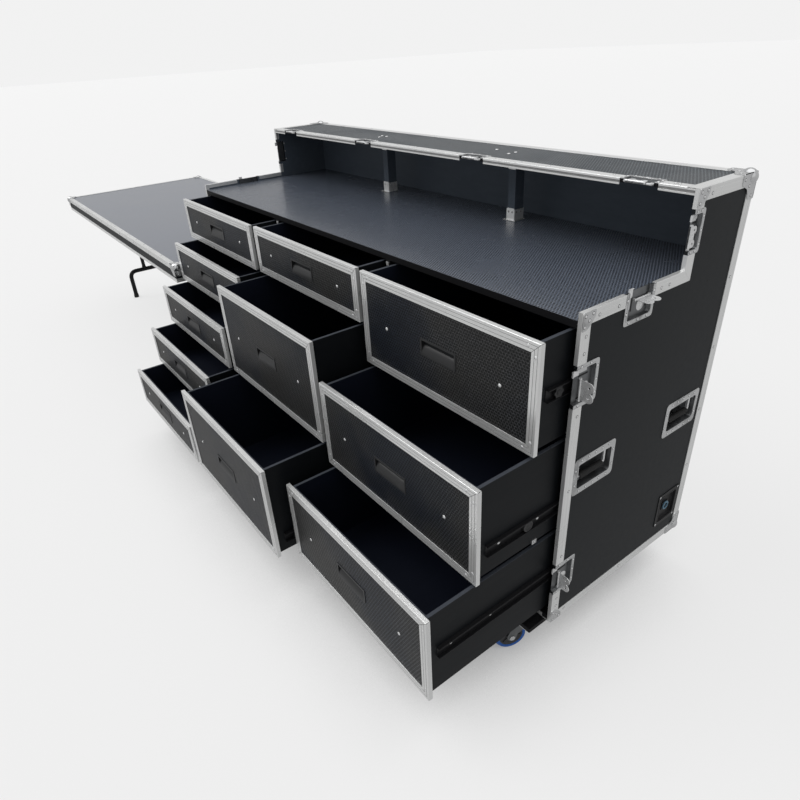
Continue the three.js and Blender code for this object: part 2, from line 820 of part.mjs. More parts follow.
// The profile along the front of the hutch has a grooved lip, and latches break it too.
function hutchLip() {
  const middle = lipHeight / 2;
  const outline = [
    [0, 0], [angleLeg, 0], [angleLeg, profileThickness], [profileThickness, profileThickness],
    [profileThickness, lipHeight], [0, lipHeight], [0, middle + lipGrooveWidth / 2],
    [lipGrooveDepth, middle + lipGrooveWidth / 2], [lipGrooveDepth, middle - lipGrooveWidth / 2],
    [0, middle - lipGrooveWidth / 2],
  ];
  const profile = placed(
    slab(outline, innerRight - innerLeft), [innerLeft, riserSetback, caseHeight],
    [0, 1, 0], [0, 0, -1], [1, 0, 0],
  );
  const underEnds = [[0, runLeft], [runRight, caseLength]].map(([from, to]) => block(
    from, to, riserSetback - overrun, riserSetback + angleLeg + overrun,
    caseHeight - profileThickness - fitGap, caseHeight + overrun,
  ));
  const broken = carved(profile, ...underEnds, ...hutchLatches.map(latchBreak));
  return joined(broken, ...hutchLatches.map(latchDish));
}
addPiece('hutch_lip_profile', aluminium, hutchLip());

// Posts that carry the hutch's top over the column dividers, in sheet brackets
const postMiddle = caseDepth - postFromBack;
const hutchRoof = caseHeight - panelInner;

function postBracket(middle, seat, up, height) {
  const outer = postWidth / 2 + bracketSheet;
  const inner = postWidth / 2 - fuse;
  const outline = [
    [-outer, 0], [outer, 0], [outer, height], [inner, height], [inner, bracketSheet],
    [-inner, bracketSheet], [-inner, height], [-outer, height],
  ];
  const front = postMiddle - postDepth / 2;
  return placed(slab(outline, postDepth), [middle, front, seat], [1, 0, 0], [0, 0, up], [0, 1, 0]);
}
dividerMiddles.forEach((middle, i) => {
  const post = block(
    middle - postWidth / 2, middle + postWidth / 2, postMiddle - postDepth / 2, postMiddle + postDepth / 2,
    worktopTop + fitGap + bracketSheet / 2, hutchRoof - fitGap - bracketSheet / 2,
  );
  addPiece(`hutch_post_${ends[i].name}`, blackBoard, joined(
    post,
    postBracket(middle, worktopTop + fitGap, 1, bracketHeight),
    postBracket(middle, hutchRoof - fitGap, -1, topBracketHeight),
  ));
});

for (const latch of latches) addPiece(`latch_wing_${latch.name}`, plated, latchWing(latch));
for (const handle of handles) addPiece(`handle_${handle.name}`, gripRubber, handleBail(handle));
addPiece('inlet_dish', blackSteel, inletDish());
addPiece('power_inlet', tealPlastic, inletConnector());

// A front: the board, set back inside its frame's face, and the frame's return round it
const boardBack = panelInset + panelThickness;
const boxFront = boardBack - fuse;

function drawerFront(height) {
  const t = profileThickness;
  const whole = block(0, frontWidth, 0, frameReturn, 0, height);
  const face = block(frameFace, frontWidth - frameFace, -overrun, panelInset, frameFace, height - frameFace);
  const back = block(t, frontWidth - t, boardBack, frameReturn + overrun, t, height - t);
  return carved(whole, face, back);
}

function pullHole(height) {
  const x = pullWidth / 2 - pullWall / 2;
  const z = pullHeight / 2 - pullWall / 2;
  const middle = frontWidth / 2;
  const half = height / 2;
  return block(middle - x, middle + x, -overrun, boxFront + boxWall + overrun, half - z, half + z);
}

// The recessed pull: a rim on the board's face and a cup whose lower face curves back to a
// slot for the fingers.
function recessedPull(height) {
  const x = pullWidth / 2;
  const z = pullHeight / 2;
  const middle = frontWidth / 2;
  const half = height / 2;
  const rimFront = panelInset - pullRimThickness;
  const rimBack = panelInset + fuse;
  const rim = block(
    middle - x - pullRim, middle + x + pullRim, rimFront, rimBack, half - z - pullRim, half + z + pullRim,
  );
  const cup = block(middle - x, middle + x, rimFront, pullDepth, half - z, half + z);
  const backWall = pullDepth - pullWall;
  const low = -z + pullWall;
  const high = z - pullWall;
  const mouth = high - pullMouth;
  const arc = [];
  for (let step = 0; step <= pullArcSteps; step += 1) {
    const angle = (step / pullArcSteps) * (Math.PI / 2);
    const y = rimFront + (backWall - rimFront) * Math.sin(angle);
    arc.push([y, mouth - (mouth - low) * Math.cos(angle)]);
  }
  const outline = [[rimFront - overrun, low], ...arc, [backWall, high], [rimFront - overrun, high]];
  const width = pullWidth - 2 * pullWall;
  const hollow = placed(slab(outline, width), [middle - width / 2, 0, half], [0, 1, 0], [0, 0, 1], [1, 0, 0]);
  return carved(joined(rim, cup), hollow);
}

function drawerBox(height) {
  const x0 = boxSideGap;
  const x1 = frontWidth - boxSideGap;
  const y1 = backFace - boxBackClearance - closedInset;
  const z0 = boxEdgeMargin;
  const z1 = height - boxEdgeMargin;
  const outer = block(x0, x1, boxFront, y1, z0, z1);
  const w = boxWall;
  const inner = block(x0 + w, x1 - w, boxFront + w, y1 - w, z0 + boxFloor, z1 + overrun);
  return carved(outer, inner);
}

for (const drawer of drawers) {
  const { height } = drawer;
  const body = joined(
    drawerFront(height),
    drawerBox(height),
    ...runnersOf(drawer, sliderChannel, sliderSetback, sliderLength),
  );
  const whole = joined(carved(body, pullHole(height)), recessedPull(height));
  const mesh = addPiece(drawer.name, hexLaminate, whole);
  mesh.position.set(drawer.x, -drawer.pull, drawer.z);
}

// Castors under a board that runs out in front of the case
const castorPlaces = [
  { name: 'front_right', x: caseLength - castorFromEnd, y: frontCastorSetback },
  { name: 'front_left', x: castorFromEnd, y: frontCastorSetback },
  { name: 'rear_right', x: caseLength - castorFromEnd, y: caseDepth - rearCastorFromBack },
  { name: 'rear_left', x: castorFromEnd, y: caseDepth - rearCastorFromBack },
];
const plateTop = boardBottom + fuse;
const plateBottom = boardBottom - castorPlateThickness;
const raceBottom = plateBottom - raceHeight;
const forkTop = raceBottom - fitGap;
const axleHeight = floorHeight + wheelRadius;

function castorPlate(place) {
  const halfX = castorPlateLength / 2;
  const halfY = castorPlateWidth / 2;
  const plate = block(-halfX, halfX, -halfY, halfY, plateBottom, plateTop);
  const race = roundBar(raceRadius, raceHeight + castorPlateThickness / 2, roundPieceSides)
    .rotateX(Math.PI / 2)
    .translate(0, 0, (raceBottom + plateBottom + castorPlateThickness / 2) / 2);
  return joined(plate, race).translate(place.x, place.y, 0);
}

function castorBoard() {
  const board = block(
    castorBoardEndInset, caseLength - castorBoardEndInset, -castorBoardOverhang, caseDepth,
    boardBottom, -fitGap,
  );
  const notch = cornerReach + fitGap;
  const notches = [[0, notch], [caseLength - notch, caseLength]].map(([from, to]) => block(
    from, to, caseDepth - notch, caseDepth + overrun, boardBottom - overrun, overrun,
  ));
  return joined(carved(board, ...notches), ...castorPlaces.map(castorPlate));
}
addPiece('castor_board', blackBoard, castorBoard());

// The fork runs from a plate under the race to the axle, behind the swivel's axis. It is
// drawn with its trail along X.
function castorFork() {
  const inner = wheelWidth / 2 + forkWheelGap;
  const outer = inner + forkCheekThickness;
  const top = block(-forkTopWidth / 2, forkTopWidth / 2, -outer, outer, forkTop - forkTopThickness, forkTop);
  const cheekOutline = [
    [-forkTopWidth / 2, forkTop],
    [-forkTopWidth / 2, forkTop - forkTopThickness],
    [castorTrail - forkCheekWidth / 2, axleHeight],
    [castorTrail - forkCheekWidth / 4, axleHeight - forkCheekWidth / 2],
    [castorTrail + forkCheekWidth / 4, axleHeight - forkCheekWidth / 2],
    [castorTrail + forkCheekWidth / 2, axleHeight],
    [forkTopWidth / 2, forkTop - forkTopThickness],
    [forkTopWidth / 2, forkTop],
  ];
  const cheeks = [-outer, inner].map((y) => (
    placed(slab(cheekOutline, forkCheekThickness), [0, y, 0], [1, 0, 0], [0, 0, 1], [0, 1, 0])
  ));
  const axle = roundBar(axleRadius, 2 * (outer + forkCheekThickness), roundPieceSides)
    .translate(castorTrail, 0, axleHeight);
  return joined(top, ...cheeks, axle);
}

// The wheel is turned about its axle: bore, hub with a recessed web, and tyre.
function castorWheel() {
  const half = wheelWidth / 2;
  const bore = axleRadius + axleClearance;
  const profile = [
    [bore, -half],
    [hubBossRadius, -half],
    [hubBossRadius, -half + hubRecess],
    [hubRadius, -half + hubRecess],
    [hubRadius, -half],
    [wheelRadius - tyreShoulder, -half],
    [wheelRadius, -half + tyreShoulder],
    [wheelRadius, half - tyreShoulder],
    [wheelRadius - tyreShoulder, half],
    [hubRadius, half],
    [hubRadius, half - hubRecess],
    [hubBossRadius, half - hubRecess],
    [hubBossRadius, half],
    [bore, half],
    [bore, -half],
  ];
  return turned(profile, finePieceSides).translate(castorTrail, 0, axleHeight);
}

castorPlaces.forEach((place, i) => {
  const castor = new THREE.Group();
  castor.position.set(place.x, place.y, 0);
  castor.rotation.z = THREE.MathUtils.degToRad(castorTurnDegrees[i]);
  model.add(castor);
  addPiece(`castor_fork_${place.name}`, plated, castorFork(), castor);
  addPiece(`castor_wheel_${place.name}`, wheelBlue, bare(castorWheel()), castor);
});

// Table top, rim boards and profiles
const tableRight = -tableGap;
const tableLeft = tableRight - tableLength;
const tableFront = -tableFrontOverhang;
const tableBack = tableFront + tableWidth;
const tableFaces = {
  x0: tableLeft + panelInset, x1: tableRight - panelInset,
  y0: tableFront + panelInset, y1: tableBack - panelInset,
};
const tableTopFace = tableTop - panelInset;
const tablePanelBottom = tableTopFace - tablePanelThickness;
const tableBottom = tableTop - tableRimDepth;
const rimOuter = block(
  tableFaces.x0, tableFaces.x1, tableFaces.y0, tableFaces.y1,
  tableBottom + profileThickness - fuse, tablePanelBottom - fitGap,
);
const rimInner = block(
  tableFaces.x0 + panelThickness, tableFaces.x1 - panelThickness,
  tableFaces.y0 + panelThickness, tableFaces.y1 - panelThickness,
  tableBottom - overrun, tableTop,
);

// A ring of angle round the table's top or bottom edge. The first leg lies level.
function angleRing(levelLeg, sideLeg, height, up) {
  const t = profileThickness;
  const level = [0, up * t];
  const side = [0, up * sideLeg];
  const ring = (inset, [a, b]) => carved(
    block(tableLeft, tableRight, tableFront, tableBack, height + Math.min(a, b), height + Math.max(a, b)),
    block(
      tableLeft + inset, tableRight - inset, tableFront + inset, tableBack - inset,
      height - sideLeg - overrun, height + sideLeg + overrun,
    ),
  );
  return joined(ring(levelLeg, level), ring(t, side));
}
addPiece('table_rim', charcoalLaminate, joined(
  carved(rimOuter, rimInner), angleRing(tableLipReturn, tableLipLeg, tableBottom, 1),
));

function tableCorner(x, y, toX, toY) {
  const origin = [x + toX * fuse, y + toY * fuse, tableTop - fuse];
  return placed(ballCorner(tableCornerReach), origin, [toX, 0, 0], [0, toY, 0], [0, 0, -1]);
}
addPiece('table_top_frame', aluminium, joined(
  angleRing(tableTopLeg, tableSideLeg, tableTop, -1),
  tableCorner(tableLeft, tableFront, 1, 1),
  tableCorner(tableLeft, tableBack, 1, -1),
  tableCorner(tableRight, tableFront, -1, 1),
  tableCorner(tableRight, tableBack, -1, -1),
));

// Folding leg frames: a bent foot tube, two struts up to a pivot rod, and rubber feet
const pivotHeight = tablePanelBottom - pivotDrop;
const tableMiddle = (tableFront + tableBack) / 2;
const legPlaces = [
  { name: 'left', x: tableLeft + legFromEnd },
  { name: 'right', x: tableRight - legFromEnd },
];

function footTube() {
  const half = legSpread / 2;
  const crossing = floorHeight + legCrossHeight;
  const bendStart = crossing - legBendRadius;
  const foot = floorHeight + footHeight / 2;
  const path = new THREE.CurvePath();
  const point = (y, z) => new THREE.Vector3(0, y, z);
  path.add(new THREE.LineCurve3(point(-half, foot), point(-half, bendStart)));
  path.add(new THREE.QuadraticBezierCurve3(
    point(-half, bendStart), point(-half, crossing), point(-half + legBendRadius, crossing),
  ));
  const straight = half - legBendRadius;
  path.add(new THREE.LineCurve3(point(-straight, crossing), point(straight, crossing)));
  path.add(new THREE.QuadraticBezierCurve3(
    point(half - legBendRadius, crossing), point(half, crossing), point(half, bendStart),
  ));
  path.add(new THREE.LineCurve3(point(half, bendStart), point(half, foot)));
  const section = new THREE.Shape();
  section.absarc(0, 0, tubeRadius, 0, Math.PI * 2, false);
  return new THREE.ExtrudeGeometry(section, {
    extrudePath: path, steps: legTubeSteps, curveSegments: tubeSides / 2, bevelEnabled: false,
  });
}
const legTubeSteps = 40;

function legFrame() {
  const crossing = floorHeight + legCrossHeight;
  const strutLength = pivotHeight - crossing;
  const struts = [-1, 1].map((side) => (
    roundBar(strutRadius, strutLength, tubeSides)
      .rotateX(Math.PI / 2)
      .translate(0, side * strutSpread / 2, (pivotHeight + crossing) / 2)
  ));
  const rod = roundBar(pivotRodRadius, strutSpread + 2 * (strutRadius + pivotRodOverhang), smallRoundSides)
    .translate(0, 0, pivotHeight);
  const feet = [-1, 1].map((side) => (
    roundBar(footRadius, footHeight, roundPieceSides)
      .rotateX(Math.PI / 2)
      .translate(0, side * legSpread / 2, floorHeight + footHeight / 2)
  ));
  return joined(footTube(), ...struts, rod, ...feet);
}

// A bracket under the table top on each end of a pivot rod
function legBracket(place, side) {
  const inner = strutSpread / 2 + strutRadius + fitGap;
  const half = legBracketWidth / 2;
  const top = tablePanelBottom + fuse;
  const bottom = pivotHeight - pivotRodRadius - legBracketSheet;
  const ear = block(-half, half, inner, inner + legBracketSheet, bottom, top);
  const base = block(-half, half, inner, inner + legBracketLength, top - legBracketSheet, top);
  const hole = roundBar(pivotRodRadius + pivotRodClearance, 2 * (inner + legBracketLength), smallRoundSides)
    .translate(0, 0, pivotHeight);
  const bracket = carved(joined(ear, base), hole);
  return placed(bracket, [place.x, tableMiddle, 0], [1, 0, 0], [0, side, 0], [0, 0, 1]);
}
const tablePanel = block(
  tableFaces.x0, tableFaces.x1, tableFaces.y0, tableFaces.y1, tablePanelBottom, tableTopFace,
);
addPiece('table_top', blackBoard, joined(
  tablePanel, ...legPlaces.flatMap((place) => [legBracket(place, -1), legBracket(place, 1)]),
));
for (const place of legPlaces) {
  const mesh = addPiece(`table_leg_${place.name}`, blackSteel, legFrame());
  mesh.position.set(place.x, tableMiddle, 0);
}

// The origin is moved to the middle of the footprint, on the floor.
const bounds = new THREE.Box3().setFromObject(model);
const middleOfBounds = bounds.getCenter(new THREE.Vector3());
model.position.set(-middleOfBounds.x, -middleOfBounds.y, -bounds.min.z);
model.updateMatrixWorld(true);

export default model;
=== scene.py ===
"""Road case with drawers, and its front cover standing beside it as a table."""

import math

import bmesh
import bpy
from mathutils import Matrix, Vector
from mathutils.geometry import tessellate_polygon


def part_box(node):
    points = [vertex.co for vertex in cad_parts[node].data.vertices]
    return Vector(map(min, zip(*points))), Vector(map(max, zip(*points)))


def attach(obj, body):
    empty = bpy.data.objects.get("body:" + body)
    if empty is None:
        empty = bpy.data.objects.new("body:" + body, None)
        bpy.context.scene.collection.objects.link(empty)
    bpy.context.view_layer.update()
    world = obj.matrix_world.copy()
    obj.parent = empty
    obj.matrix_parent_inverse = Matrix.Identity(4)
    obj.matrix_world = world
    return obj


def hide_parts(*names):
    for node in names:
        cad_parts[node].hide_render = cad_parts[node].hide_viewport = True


bl_info = {
    "name": "Road Case With Drawers",
    "version": (1, 0, 0),
    "blender": (4, 5, 0),
    "location": "View3D > Sidebar > Road Case",
    "description": "Builds the drawers, edging, latches, castors and table of a road case over its CAD frame",
    "category": "Add Mesh",
}

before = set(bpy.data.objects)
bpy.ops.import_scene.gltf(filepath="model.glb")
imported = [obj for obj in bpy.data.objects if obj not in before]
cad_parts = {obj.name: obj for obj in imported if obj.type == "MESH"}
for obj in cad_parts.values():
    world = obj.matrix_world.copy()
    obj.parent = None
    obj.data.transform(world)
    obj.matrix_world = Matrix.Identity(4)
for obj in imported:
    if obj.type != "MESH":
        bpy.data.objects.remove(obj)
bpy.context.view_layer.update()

X, Y, Z = (1, 0, 0), (0, 1, 0), (0, 0, 1)
# The thickness of the sheet that profiles are bent from, and the least angle of a sharp edge.
SHEET, SHARP = 1.5, math.radians(32)
# Places in millimetres, as the frame has them: X runs from the case's left end, Y from its
# open front to its back and Z up from its bottom face.
LENGTH, DEPTH, HEIGHT = 2000, 610, 1100
# STEP is the height of the ends' lower part and RISER where the hutch starts behind it.
STEP, RISER = 917, 364
WORKTOP_TOP, WORKTOP_UNDER = 898, 880
# How deep the boards' outer and inner faces lie, and the reach of the boards between the ends.
INSET, INNER = 1.8, 10.8
LEFT, RIGHT, BACK = INNER + 0.3, LENGTH - INNER - 0.3, 598.9
# The width of the ends' edging, and where the long profiles start beside it.
EDGE, PROFILE_START = 30, 30.3
FLOOR = -131
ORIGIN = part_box("worktop")[0] - Vector((LEFT, 0, WORKTOP_UNDER)) / 1000
ENDS = (("left", 0, -1), ("right", LENGTH, 1))
DIVIDERS = (("left", 666.5), ("right", 1333.5))
HANDLE_Z, HANDLE_Y = 480.97, (("front", 109), ("rear", 487))
INLET_Y, INLET_Z = 522, 130
TABLE_LEFT, TABLE_RIGHT, TABLE_FRONT, TABLE_BACK = -2092, -12, -209, 721
TABLE_MIDDLE, TABLE_TOP, TABLE_UNDER = 256, 605, 527
TABLE_LEGS = (("left", TABLE_LEFT + 135), ("right", TABLE_RIGHT - 135))


def settings():
    """The sizes and colours that a user can change."""
    return bpy.context.scene.road_case


def place(origin=(0, 0, 0), x=X, y=Y, z=Z):
    """A frame from its origin and its three directions."""
    turned = Matrix((x, y, z)).transposed().to_4x4()
    turned.translation = Vector(origin)
    return turned


def bent(points, radius, steps=4):
    """Rounds the inner corners of an open path."""
    made = [tuple(points[0])]
    for before, corner, after in zip(points, points[1:], points[2:]):
        before, corner, after = Vector(before), Vector(corner), Vector(after)
        start = corner + (before - corner).normalized() * min(radius, (before - corner).length * 0.48)
        end = corner + (after - corner).normalized() * min(radius, (after - corner).length * 0.48)
        for step in range(steps + 1):
            t = step / steps
            made.append(tuple(start * (1 - t) ** 2 + corner * 2 * t * (1 - t) + end * t * t))
    return made + [tuple(points[-1])]


def softened(points, radius, steps=3):
    """Rounds every corner of a closed outline."""
    return bent([points[-1], *points, points[0]], radius, steps)[1:-1]


def arch(half, reach, radius, steps=3, foot=0.0):
    """Three sides of a rectangle, from its left foot to its right one, with rounded corners."""
    return bent([(-half, foot), (-half, reach), (half, reach), (half, foot)], radius, steps)


def oblong(x, y, radius, steps=5):
    """A rounded rectangle about the origin, given by its half sizes."""
    made = []
    for side, up, start in ((1, 1, 0), (-1, 1, 90), (-1, -1, 180), (1, -1, 270)):
        middle = (side * (x - radius), up * (y - radius))
        for step in range(steps + 1):
            angle = math.radians(start + 90 * step / steps)
            made.append((middle[0] + radius * math.cos(angle), middle[1] + radius * math.sin(angle)))
    return made


def oblong_at(x, y, half_x, half_y, radius):
    """A rounded rectangle about a place."""
    return [(x + u, y + v) for u, v in oblong(half_x, half_y, radius, 3)]


def circle(radius, sides, x=0.0, y=0.0):
    """A round outline."""
    turns = [2 * math.pi * i / sides for i in range(sides)]
    return [(x + radius * math.cos(turn), y + radius * math.sin(turn)) for turn in turns]


def corners(x0, x1, y0, y1):
    """The outline of a rectangle."""
    return ((x0, y0), (x1, y0), (x1, y1), (x0, y1))


def level(outline, z):
    """An outline lifted to a height."""
    return [(x, y, z) for x, y in outline]


def upright(outline, y):
    """An outline stood up, some way behind the front."""
    return [(x, y, z) for x, z in outline]


FIXINGS = {}


class Stock:
    """Gathers the closed shells of one piece in millimetres, with a finish on each face."""

    def __init__(self):
        self.mesh = bmesh.new()
        self.along = self.mesh.loops.layers.uv.new("along")
        self.finishes = []
        self.frame = Matrix.Identity(4)
        self.fixings = []

    def face(self, around, finish, spots=None):
        """One face. spots are its places along and across the stock, for brushed finishes."""
        if finish not in self.finishes:
            self.finishes.append(finish)
        made = self.mesh.faces.new(around)
        made.material_index = self.finishes.index(finish)
        made.smooth = True
        spots = spots or [(vertex.co.x + vertex.co.z, vertex.co.y) for vertex in around]
        for loop, spot in zip(made.loops, spots):
            loop[self.along].uv = (spot[0] / 1000, spot[1] / 1000)

    def row(self, points):
        """A vertex at each point."""
        return [self.mesh.verts.new(self.frame @ Vector(point)) for point in points]

    def loft(self, loops, finish, ring=False, sides=()):
        """A shell over loops of points. finish is one name, or one for each band and cap.
        Sides of the section that are listed in sides get the dirt and painted shade of a groove."""
        rows = [self.row(loop) for loop in loops]
        names = [finish] * (len(rows) + 1) if isinstance(finish, str) else finish
        ends = [rows[0], rows[-1]]
        if ring:
            rows.append(rows[0])
        reach = 0.0
        for band, (low, high) in enumerate(zip(rows, rows[1:])):
            ahead = reach + (high[0].co - low[0].co).length
            girth = 0.0
            count = max(len(low), len(high))
            for i in range(count):
                j = (i + 1) % count
                if len(low) == 1:
                    around = (low[0], high[j], high[i])
                elif len(high) == 1:
                    around = (low[i], low[j], high[0])
                else:
                    around = (low[i], low[j], high[j], high[i])
                beside = girth + (around[1].co - around[0].co).length
                spots = ((reach, girth), (reach, beside), (ahead, beside), (ahead, girth))
                name = "groove_dirt_and_shade" if i in sides else names[band if ring else band + 1]
                self.face(around, name, spots[:len(around)])
                girth = beside
            reach = ahead
        if not ring:
            for end, name in zip(ends, (names[0], names[-1])):
                if len(end) > 2:
                    self.face(end, name)

    def prism(self, outline, low, high, finish):
        """An outline drawn along its own Z."""
        self.loft((level(outline, low), level(outline, high)), finish)

    def block(self, x0, x1, y0, y1, z0, z1, finish):
        """A rectangular block."""
        self.prism(corners(x0, x1, y0, y1), z0, z1, finish)

    def run(self, outline, start, end, mitres, finish, sides=()):
        """A profile drawn along its own Z, with ends cut back by its X times each mitre."""
        first, last = mitres
        self.loft((
            [(x, y, start + first * x) for x, y in outline],
            [(x, y, end - last * x) for x, y in outline],
        ), finish, sides=sides)

    def turn(self, profile, finish, sides=24):
        """A profile of radius and height, turned about its own Z."""
        self.loft([
            [(0, 0, z)] if r == 0 else level(circle(r, sides), z) for r, z in profile
        ], finish)

    def hoop(self, profile, finish, sides=24):
        """A closed section of radius and height, turned about its own Z."""
        self.loft([level(circle(r, sides), z) for r, z in profile], finish, ring=True)

    def tube(self, path, radius, finish, sides=14):
        """A round bar along a path."""
        path = [Vector(point) for point in path]
        across = None
        loops = []
        for i, point in enumerate(path):
            way = (path[min(i + 1, len(path) - 1)] - path[max(i - 1, 0)]).normalized()
            across = way.orthogonal() if across is None else across - way * across.dot(way)
            across.normalize()
            beside = way.cross(across)
            loops.append([point + across * x + beside * y for x, y in circle(radius, sides)])
        self.loft(loops, finish)

    def plate(self, outline, holes, low, high, finish, inner=None):
        """A flat sheet with holes. inner is the finish of its upper face."""
        rings = [outline, *holes]
        rows = [[self.row(level(ring, z)) for ring in rings] for z in (low, high)]
        triangles = tessellate_polygon([[Vector(point) for point in level(ring, 0)] for ring in rings])
        for row, name in zip(rows, (finish, inner or finish)):
            flat = [vertex for ring in row for vertex in ring]
            for triangle in triangles:
                self.face([flat[i] for i in triangle], name)
        for below, above in zip(*rows):
            for i in range(len(below)):
                j = (i + 1) % len(below)
                self.face((below[i], below[j], above[j], above[i]), finish)

    def fix(self, x, y, z, facing=Z, size=3.4, crossed=False):
        """A rivet or a crossed screw, made later with the others of its body."""
        spot = self.frame @ Vector((x, y, z))
        self.fixings.append((spot, (self.frame.to_3x3() @ Vector(facing)).normalized(), size, crossed))

    def piece(self, name, bevel=None, own=False):
        """Makes the object, in place of the node of its name where there is one.
        It rides on the case, or on its own body, which has its name too."""
        bmesh.ops.recalc_face_normals(self.mesh, faces=self.mesh.faces)
        for edge in self.mesh.edges:
            edge.smooth = edge.calc_face_angle(0) < SHARP
        for vertex in self.mesh.verts:
            vertex.co = ORIGIN + vertex.co / 1000
        mesh = bpy.data.meshes.new("made_" + name)
        self.mesh.to_mesh(mesh)
        self.mesh.free()
        for finish in self.finishes:
            mesh.materials.append(material(finish))
        made = bpy.data.objects.new("made_" + name, mesh)
        bpy.context.scene.collection.objects.link(made)
        width = settings().edge_rounding if bevel is None else bevel
        if width:
            rounding = made.modifiers.new("Rounded edges", "BEVEL")
            rounding.width = width
            rounding.segments = 2
            rounding.limit_method = "ANGLE"
            rounding.angle_limit = SHARP
            rounding.harden_normals = True
            rounding.use_clamp_overlap = True
        body = name if own else "case"
        replaces = [name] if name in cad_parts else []
        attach(made, body)
        if replaces:
            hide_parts(*replaces)
        FIXINGS.setdefault(body, []).extend(self.fixings)


# Node trees


class Number:
    """A number that varies over a surface, so that Python sums become Math nodes."""

    def __init__(self, tree, socket):
        self.tree = tree
        self.socket = socket

    def __add__(self, other):
        return self.tree.math("ADD", self, other)

    __radd__ = __add__

    def __sub__(self, other):
        return self.tree.math("SUBTRACT", self, other)

    def __rsub__(self, other):
        return self.tree.math("SUBTRACT", other, self)

    def __mul__(self, other):
        return self.tree.math("MULTIPLY", self, other)

    __rmul__ = __mul__

    def __truediv__(self, other):
        return self.tree.math("DIVIDE", self, other)

    def __mod__(self, other):
        return self.tree.math("FLOORED_MODULO", self, other)

    def __pow__(self, other):
        return self.tree.math("POWER", self, other)

    def least(self, other):
        return self.tree.math("MINIMUM", self, other)

    def most(self, other):
        return self.tree.math("MAXIMUM", self, other)

    def rise(self, low, high):
        """0 below low, 1 above high and smooth between."""
        sockets = {"Value": self, "From Min": low, "From Max": high}
        smooth = {"interpolation_type": "SMOOTHSTEP"}
        return Number(self.tree, self.tree.result("ShaderNodeMapRange", sockets, smooth, "Result"))


class Tree:
    """Adds nodes to a tree."""

    def __init__(self, tree):
        self.tree = tree

    def node(self, kind, values=None, sockets=None):
        """One node: its own values first, then its sockets by name or number."""
        made = self.tree.nodes.new(kind)
        for key, value in (values or {}).items():
            setattr(made, key, value)
        for key, value in (sockets or {}).items():
            if isinstance(value, Number):
                value = value.socket
            if isinstance(value, bpy.types.NodeSocket):
                self.tree.links.new(value, made.inputs[key])
            else:
                made.inputs[key].default_value = value
        return made

    def result(self, kind, sockets=None, values=None, output=0):
        """One output of a new node."""
        return self.node(kind, values, sockets).outputs[output]

    def math(self, operation, *values):
        """A sum of two numbers, either of which may be constant."""
        return Number(self, self.result("ShaderNodeMath", dict(enumerate(values)), {"operation": operation}))


class Surface(Tree):
    """Builds one finish."""

    def __init__(self, name):
        self.material = bpy.data.materials.new(name)
        self.material.use_nodes = True
        super().__init__(self.material.node_tree)
        self.tree.nodes.clear()
        self.places = self.result("ShaderNodeTexCoord", output="Object")
        split = self.node("ShaderNodeSeparateXYZ", None, {0: self.places})
        self.x, self.y, self.z = (Number(self, socket) for socket in split.outputs)

    def stretched(self, spots, amounts):
        """Places pulled apart by an amount along each axis."""
        return self.result("ShaderNodeVectorMath", {0: spots, 1: amounts}, {"operation": "MULTIPLY"})

    def noise(self, scale, detail, roughness, spots=None):
        """A soft random number from 0 to 1."""
        return Number(self, self.result("ShaderNodeTexNoise", {
            "Vector": spots or self.places, "Scale": scale, "Detail": detail, "Roughness": roughness,
        }))

    def blend(self, amount, first, second):
        """A colour between two colours."""
        return self.result("ShaderNodeMix", {0: amount, 6: first, 7: second}, {"data_type": "RGBA"}, 2)

    def shade(self, colour, amount):
        """A colour made lighter or darker by a number near 1."""
        colour = colour[:3] if isinstance(colour, tuple) else colour
        return self.result("ShaderNodeVectorMath", {0: colour, "Scale": amount}, {"operation": "SCALE"})

    def relief(self, height, distance, strength):
        """A bump, for the shader's normal."""
        return self.result("ShaderNodeBump", {"Height": height, "Distance": distance, "Strength": strength})

    def cells(self, u, v, pitch):
        """How far a place lies from the middle of its cell in a honeycomb, in pitches."""
        u, v = u / pitch, v / pitch
        rows = math.sqrt(3)
        found = []
        for shift in (0.0, 0.5):
            across = (u + shift) % 1.0 - 0.5
            up = (v + shift * rows) % rows - rows / 2
            found.append((across * across + up * up) ** 0.5)
        return found[0].least(found[1])

    def finish(self, **sockets):
        """Ends the tree. Socket names are written with underscores."""
        named = {key.replace("_", " "): value for key, value in sockets.items()}
        shader = self.node("ShaderNodeBsdfPrincipled", None, named)
        self.node("ShaderNodeOutputMaterial", None, {"Surface": shader.outputs[0]})
        return self.material


def tint(name):
    """One of the colours that a user can change, as a socket's value."""
    return (*getattr(settings(), name), 1.0)


def brushed_aluminium(surface):
    """Drawn aluminium with fine lines along the profile."""
    spots = surface.result("ShaderNodeUVMap", values={"uv_map": "along"})
    lines = surface.noise(1.0, 2.0, 0.5, surface.stretched(spots, (1.5, 620, 1)))
    smudges = surface.noise(6.0, 1.0, 0.5)
    colour = surface.shade(tint("aluminium"), 0.6 + lines * 0.56 + smudges * 0.16)
    return surface.finish(
        Base_Color=colour, Metallic=0.6, Roughness=0.22 + smudges * 0.12,
        Normal=surface.relief(lines, 0.0002, 0.5),
    )


def plated_steel(surface):
    """Zinc plating with a clouded shine and a few stains."""
    cloud = surface.noise(40.0, 2.0, 0.5)
    stain = surface.noise(14.0, 3.0, 0.6).rise(0.5, 0.75)
    colour = surface.shade(tint("plating"), 1.12 - stain * 0.5 - cloud * 0.14)
    return surface.finish(
        Base_Color=colour, Metallic=0.92, Roughness=0.13 + cloud * 0.1 + stain * 0.2,
        Normal=surface.relief(cloud, 0.001, 0.5),
    )


